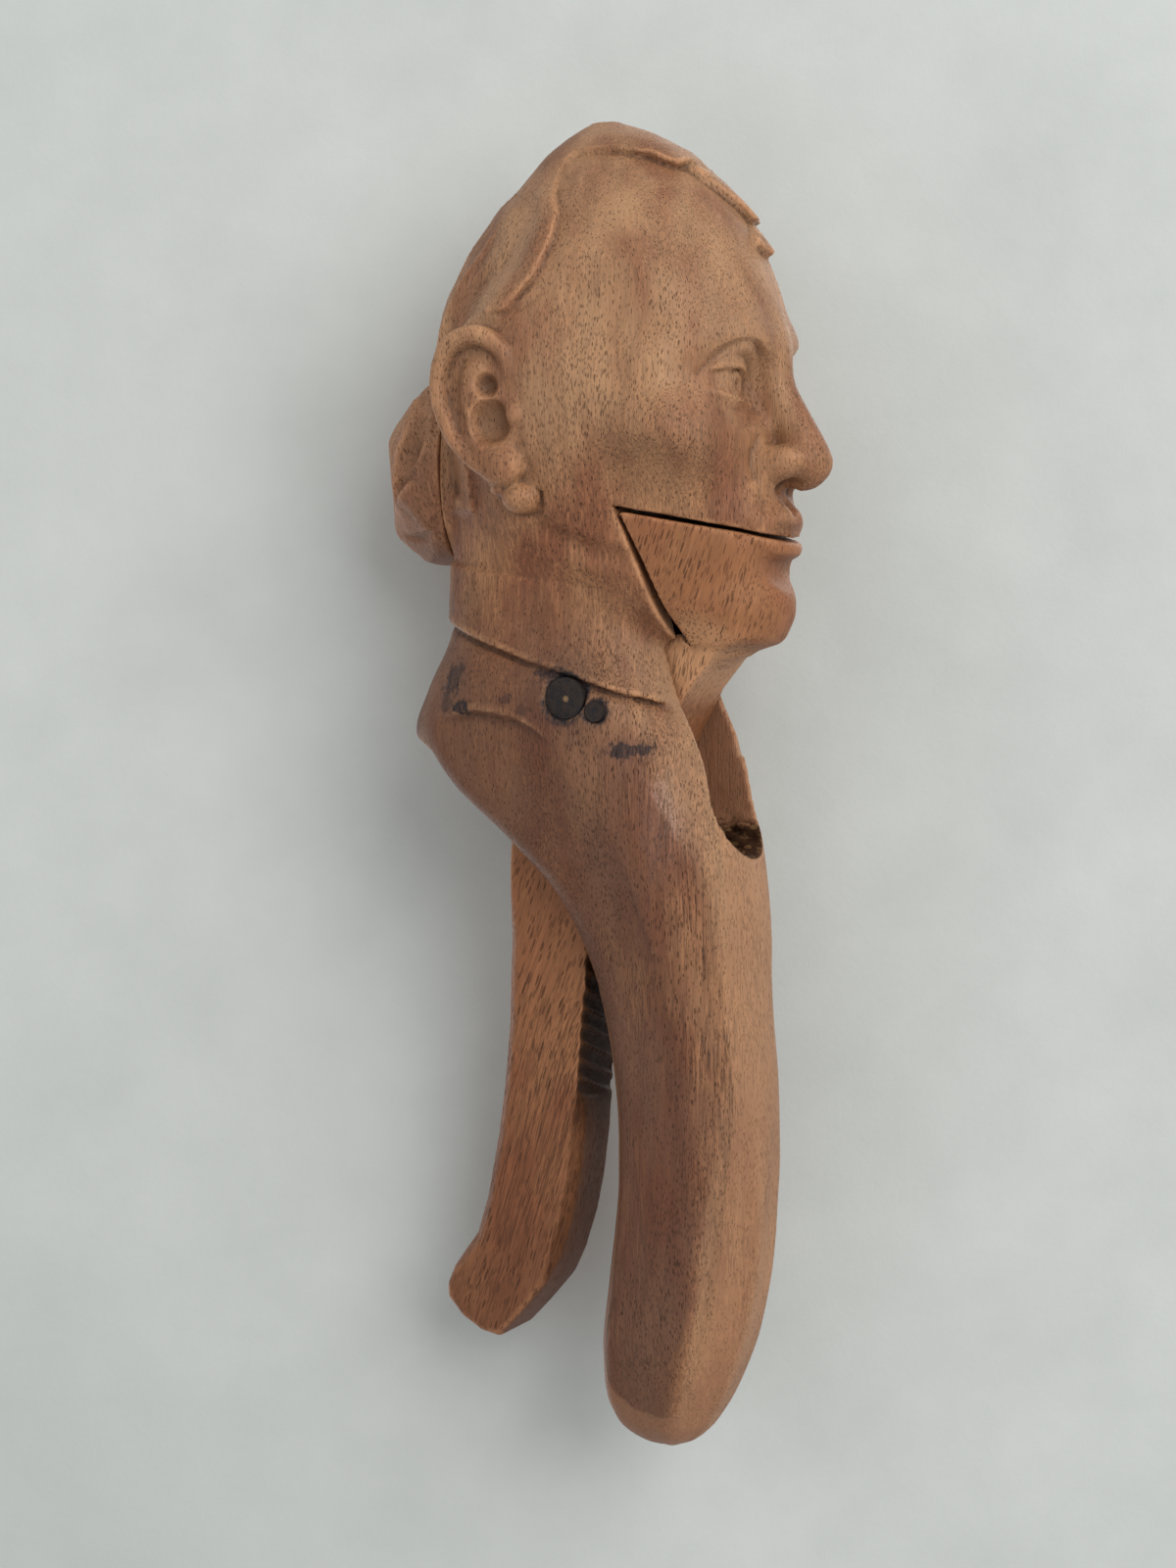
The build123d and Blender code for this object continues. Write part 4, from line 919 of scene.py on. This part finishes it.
        # iron stains: centre (row frame, mm), radii along y and z, strength
        marks = []
        for (cx, f, z), (ry, rz), k in (((-19.0, 0.2, 0.2), (4.3, 4.5), 1.0), ((-18.6, 4.7, -2.0), (1.5, 2.2), 0.95), ((-18.8, -2.0, 3.6), (4.0, 1.3), 0.6),
                                        ((-17.5, 9.6, -7.8), (3.4, 1.2), 0.62), ((-16.0, -19.8, 2.6), (2.0, 2.8), 0.55), ((-16.0, -17.6, -1.6), (1.8, 1.1), 0.7),
                                        ((-17.0, -20.6, -0.8), (1.5, 1.9), 0.4), ((-18.0, -9.6, -0.4), (1.2, 0.8), 0.35), ((-17.8, -6.6, -2.0), (1.6, 0.9), 0.3),
                                        ((19.0, 0.0, 0.0), (3.0, 3.3), 0.95), ((18.4, -9.6, -3.0), (1.8, 1.2), 0.4)):
            q = N.vec('SUBTRACT', p0, (cx, PY - f, PZ + z))
            q = N.vec('LENGTH', N.vec('MULTIPLY', q, (1 / 9.0, 1 / ry, 1 / rz)), out=1)
            q = N.math('ADD', q, N.math('MULTIPLY', N.math('SUBTRACT', jag, 0.5), 0.9 if k > 0.9 else 3.6))
            marks.append(N.math('MULTIPLY', N.smooth(q, 0.72, 1.05, 1.0, 0.0), min(1.0, k * 1.35)))
            halo = N.math('MULTIPLY', N.smooth(q, 0.7, 2.1, 1.0, 0.0), 0.28 * k)
            marks.append(halo)
        # broken, dirty wood in the foot of the slot
        q = N.vec('LENGTH', N.vec('MULTIPLY', N.vec('SUBTRACT', p0, (0.0, 0.0, PZ - 16.2)), (1.0, 0.0, 1.0)), out=1)
        zz = N.math('MULTIPLY_ADD', N.math('SUBTRACT', jag, 0.5), 5.0, N.vec('DOT_PRODUCT', p0, (0.0, 0.0, 1.0), out=1))
        foot = N.math('MULTIPLY', N.smooth(q, 8.3, 8.7, 0.92, 0.0), N.smooth(zz, PZ - 20.5, PZ - 18.6, 1.0, 0.0))
        bits = N.add("ShaderNodeTexVoronoi", None, {"Vector": N.vec('MULTIPLY', p0, (1.0, 0.8, 1.0)), "Scale": 1.0, "Randomness": 1.0}, feature='F1')
        bit = N.add("ShaderNodeSeparateColor", 0, {"Color": bits.outputs['Color']})
        dirt = N.mix(N.smooth(bit, 0.35, 0.95), (0.014, 0.007, 0.003), (0.105, 0.058, 0.026))
        dirt = N.mix(N.smooth(bits.outputs['Distance'], 0.35, 0.62), dirt, (0.006, 0.003, 0.002))
        col = N.mix(foot, col, dirt)
        rough = N.math('MULTIPLY_ADD', foot, 0.5, rough)
        spec = N.math('MULTIPLY_ADD', foot, -0.22, 0.25)
        for (f, z), r0, r1 in (((0.1, 0.15), 3.15, 4.5), ((4.8, -2.0), 1.45, 2.5)):
            q = N.vec('MULTIPLY', N.vec('SUBTRACT', p0, (-19.0, PY - f, PZ + z)), (0.1, 1.0, 0.9))
            q = N.math('ADD', N.vec('LENGTH', q, out=1), N.math('MULTIPLY', N.math('SUBTRACT', jag, 0.5), 2.4))
            marks.append(N.smooth(q, r0, r1, 1.0, 0.0))
        # painted light: the slot's side walls below the collar lightened, standing in for light reaching into the slot
        wall = N.vec('LENGTH', N.vec('MULTIPLY', p0, (1.0, 0.0, 0.0)), out=1)
        wall = N.math('MULTIPLY', N.smooth(wall, 8.15, 8.5, 0.42, 0.0), N.math('MULTIPLY', grip, N.math('SUBTRACT', 1.0, foot)))
        col = N.mix(wall, col, (0.34, 0.165, 0.085))
        m = marks[0]
        for q in marks[1:]:
            m = N.math('MAXIMUM', m, q)
        m = N.math('MULTIPLY', m, N.ramp(N.noise(N.vec('MULTIPLY', G, (1.1, 1.1, 0.35)), 1.0, 3.0, 0.7), [(0.34, 0.62), (0.52, 1.0)]))
        col = N.mix(m, col, (0.012, 0.010, 0.013))
        rough = N.math('MULTIPLY_ADD', m, 0.12, rough)
    if gloss:
        q = N.vec('SUBTRACT', p0, (-11.5, PY - 13.6, PZ - 19.0))
        q = N.vec('LENGTH', N.vec('MULTIPLY', q, (1 / 9.0, 1 / 3.6, 1 / 9.5)), out=1)
        q = N.math('ADD', q, N.math('MULTIPLY', N.math('SUBTRACT', streak, 0.5), 1.6))
        coat = N.math('MULTIPLY', N.smooth(q, 0.55, 1.1, 0.85, 0.0), N.ramp(streak, [(0.42, 0.25), (0.56, 1.0)]))
    # relief of fibres and pores
    h = N.math('MULTIPLY_ADD', streak, 0.55, N.math('MULTIPLY', fibre, 0.35))
    h = N.math('SUBTRACT', h, N.math('MULTIPLY', pores, 0.9))
    h = N.math('SUBTRACT', h, N.math('MULTIPLY', lines, 0.6))
    tool = N.noise(N.vec('MULTIPLY', p0, (0.32, 0.32, 0.22)), 1.0, 2.0, 0.5)
    h = N.math('MULTIPLY_ADD', tool, 1.6, h)
    bump = N.add("ShaderNodeBump", 0, {"Strength": 0.75 * depth, "Distance": 0.00018, "Height": h})
    if not stains_and_painted_light and not inner:
        # painted shade: the bun darkened towards its lower part, where it meets the neck
        low = N.smooth(up, PZ + 22.0, PZ + 33.0, 0.55, 0.0)
        col = N.mix(low, col, (0.10, 0.038, 0.019))
    bs = N.add("ShaderNodeBsdfPrincipled", None, {"Base Color": col, "Roughness": rough, "Normal": bump, "Specular IOR Level": spec})
    if coat is not None:
        N.put(bs.inputs["Coat Weight"], coat)
        N.put(bs.inputs["Coat Roughness"], 0.20)
        N.put(bs.inputs["Coat Normal"], bump)
    N.t.links.new(bs.outputs[0], N.out.inputs[0])
    return N.mat


def iron(name):
    """Blackened iron with brown rust in the hollows and a filed, brighter middle."""
    N = Nodes(name)
    P = N.vec('SCALE', N.add("ShaderNodeTexCoord", 3), 1000.0)
    a = N.noise(P, 0.9, 4.0, 0.65)
    b = N.noise(N.vec('ADD', P, (4.0, 2.0, 9.0)), 3.2, 3.0, 0.6)
    col = N.mix(N.ramp(a, [(0.38, 0.0), (0.6, 1.0)]), (0.008, 0.007, 0.008), (0.024, 0.014, 0.010))
    col = N.mix(N.math('MULTIPLY', N.ramp(b, [(0.5, 0.0), (0.75, 1.0)]), 0.6), col, (0.040, 0.020, 0.012))
    q = N.vec('SUBTRACT', P, (0, PY - 0.2, PZ - 0.1))
    q = N.vec('LENGTH', N.vec('MULTIPLY', q, (0.0, 1.0, 1.0)), out=1)
    col = N.mix(N.smooth(q, 0.25, 0.6, 0.9, 0.0), col, (0.22, 0.13, 0.06))
    bump = N.add("ShaderNodeBump", 0, {"Strength": 0.8, "Distance": 0.00025, "Height": N.math('MULTIPLY_ADD', a, 1.0, N.math('MULTIPLY', b, 0.5))})
    bs = N.add("ShaderNodeBsdfPrincipled", None, {"Base Color": col, "Roughness": N.math('MULTIPLY_ADD', b, 0.3, 0.5), "Metallic": 0.35, "Normal": bump})
    N.t.links.new(bs.outputs[0], N.out.inputs[0])
    return N.mat


body_wood = wood("walnut_body", (0.415, 0.200, 0.090), (0.250, 0.096, 0.040), (0.095, 0.036, 0.016), (0.205, 0.062, 0.027))
bun_wood = wood("walnut_bun", (0.48, 0.235, 0.115), (0.32, 0.130, 0.060), (0.130, 0.052, 0.026), (0.24, 0.082, 0.038), lean=(0.25, 0.1, 0), shift=(11, 5, 30), stains_and_painted_light=False, gloss=False)
lever_wood = wood("walnut_lever", (0.335, 0.145, 0.060), (0.232, 0.086, 0.034), (0.115, 0.040, 0.016), (0.23, 0.072, 0.028), lean=(-0.30, 0.0, 0.0), pore=(1.9, 1.9, 0.24), shift=(3, 17, 60), stains_and_painted_light=False, gloss=False, inner=True, lever_tint_and_painted_light=True)
iron_mat = iron("old_iron")

body = mesh_object("carved_body", build_body(), "figure", "body", body_wood)
lever = mesh_object("carved_jaw_lever", build_lever(), "jaw", "jaw_lever", lever_wood)
bun = mesh_object("carved_hair_bun", build_bun(), "figure", "hair_bun", bun_wood)
for node in ("pivot_pin", "locking_brad"):
    ob = frame["nodes"][node]
    ob.data.materials.clear()
    ob.data.materials.append(iron_mat)

# ------------------------------------------------------------------ camera
AZ = math.radians(-65.0)
EL = math.radians(3.0)
back = Vector((math.sin(AZ) * math.cos(EL), -math.cos(AZ) * math.cos(EL), math.sin(EL)))
right = Vector((math.cos(AZ), math.sin(AZ), 0.0))
up = back.cross(right)
pivot = Vector((0, PY, PZ)) / 1000
target = pivot + right * -0.0044 + up * -0.0137
cam_data = bpy.data.cameras.new("camera")
cam = bpy.data.objects.new("camera", cam_data)
bpy.context.scene.collection.objects.link(cam)
cam.location = target + back * 0.420
cam.rotation_euler = back.to_track_quat('Z', 'Y').to_euler()
cam_data.sensor_fit = 'VERTICAL'
cam_data.sensor_height = 36.0
cam_data.lens = 62.0
cam_data.clip_start, cam_data.clip_end = 0.01, 20.0
bpy.context.scene.camera = cam

OPEN_SIGN = 1.0  # sense of the lever's opening turn about +x


# ------------------------------------------------------------------ stage: a pale cloth behind the object as it lies
def stage_plane():
    bm_size = 0.9
    n = 2
    me = bpy.data.meshes.new("pale_floor")
    v = []
    for i in range(n):
        for j in range(n):
            v.append(((i / (n - 1) - 0.5) * bm_size * 2, (j / (n - 1) - 0.5) * bm_size * 2, 0))
    me.from_pydata(v, [], [(0, 2, 3, 1)])
    ob = bpy.data.objects.new("pale_floor", me)
    bpy.context.scene.collection.objects.link(ob)
    ob.location = pivot - back * 0.0285 + up * -0.014
    ob.rotation_euler = back.to_track_quat('Z', 'Y').to_euler()
    N = Nodes("pale_cloth")
    P = N.vec('SCALE', N.add("ShaderNodeTexCoord", 3), 1000.0)
    a = N.noise(P, 0.035, 4.0, 0.6)
    b = N.noise(P, 0.8, 3.0, 0.6)
    col = N.mix(N.ramp(a, [(0.3, 0.0), (0.7, 1.0)]), (0.470, 0.492, 0.474), (0.522, 0.544, 0.527))
    # painted shadow: the cloth darkened towards the lower left of the view
    q = N.vec('LENGTH', N.vec('MULTIPLY', N.vec('SUBTRACT', P, (-95.0, -150.0, 0.0)), (1 / 90.0, 1 / 130.0, 0.0)), out=1)
    col = N.mix(N.smooth(q, 0.1, 1.3, 0.28, 0.0), col, (0.325, 0.345, 0.330))
    bump = N.add("ShaderNodeBump", 0, {"Strength": 0.25, "Distance": 0.0004, "Height": N.math('MULTIPLY_ADD', b, 0.6, a)})
    diff = N.add("ShaderNodeBsdfPrincipled", 0, {"Base Color": col, "Roughness": 0.9, "Specular IOR Level": 0.1, "Normal": bump})
    clear = N.add("ShaderNodeBsdfTransparent", 0)
    geo = N.add("ShaderNodeNewGeometry", None)
    facing = N.vec('DOT_PRODUCT', geo.outputs['Incoming'], geo.outputs['True Normal'], out=1)
    see = N.smooth(facing, 0.62, 0.85)
    sidefac = N.math('SUBTRACT', 1.0, geo.outputs['Backfacing'])
    r = N.vec('LENGTH', P, out=1)
    fade = N.smooth(r, 260.0, 420.0, 1.0, 0.0)
    fac = N.math('MULTIPLY', N.math('MULTIPLY', see, fade), sidefac)
    shader = N.add("ShaderNodeMixShader", 0, {0: fac, 1: clear, 2: diff})
    N.t.links.new(shader, N.out.inputs[0])
    me.materials.append(N.mat)
    ob.visible_shadow = False
    # the opened rear handle props the object up: the cloth lies that much further behind it
    jaw = bpy.data.objects.get("body:jaw")
    if jaw is not None:
        for i in range(3):
            curve = ob.driver_add("location", i)
            while curve.modifiers:
                curve.modifiers.remove(curve.modifiers[0])
            line = curve.modifiers.new('GENERATOR')
            line.poly_order = 1
            line.coefficients = (ob.location[i], back[i] * 0.0165 / 0.5759 * OPEN_SIGN * -1.0)
            curve.driver.type = 'SUM'
            var = curve.driver.variables.new()
            var.name = "a"
            var.type = 'TRANSFORMS'
            var.targets[0].id = jaw
            var.targets[0].transform_type = 'ROT_X'
            var.targets[0].transform_space = 'WORLD_SPACE'
    return ob


floor = stage_plane()
world = bpy.data.worlds.new("studio")
bpy.context.scene.world = world
world.use_nodes = True
wt = world.node_tree
wt.nodes.clear()
wo = wt.nodes.new("ShaderNodeOutputWorld")
bg_light = wt.nodes.new("ShaderNodeBackground")
bg_seen = wt.nodes.new("ShaderNodeBackground")
bg_light.inputs[0].default_value, bg_light.inputs[1].default_value = (0.98, 0.985, 1.0, 1), 0.66
bg_seen.inputs[0].default_value, bg_seen.inputs[1].default_value = (0.575, 0.600, 0.582, 1), 1.0
lp, mx = wt.nodes.new("ShaderNodeLightPath"), wt.nodes.new("ShaderNodeMixShader")
wt.links.new(lp.outputs["Is Camera Ray"], mx.inputs[0])
wt.links.new(bg_light.outputs[0], mx.inputs[1])
wt.links.new(bg_seen.outputs[0], mx.inputs[2])
wt.links.new(mx.outputs[0], wo.inputs[0])


def area(name, loc, size, power, col=(1, 1, 1)):
    """A soft lamp at right/up/towards-camera metres from the middle of the object."""
    d = bpy.data.lights.new(name, 'AREA')
    d.shape, d.size, d.energy, d.color = 'DISK', size, power, col
    o = bpy.data.objects.new(name, d)
    bpy.context.scene.collection.objects.link(o)
    p = target + right * loc[0] + up * loc[1] + back * loc[2]
    o.location = p
    o.rotation_euler = (p - target).to_track_quat('Z', 'Y').to_euler()
    return o


area("key", (0.62, 0.50, 0.98), 1.10, 12.0, (1.0, 0.985, 0.955))
area("fill", (-0.7, 0.3, 0.9), 0.9, 1.2, (0.95, 0.975, 1.0))
area("rear", (0.3, 0.5, -0.9), 0.8, 5.0, (1.0, 0.99, 0.97))
area("rear_low", (-0.5, -0.3, -0.8), 0.8, 2.5)
bpy.context.scene.view_settings.view_transform = 'Standard'
bpy.context.scene.view_settings.look = 'None'
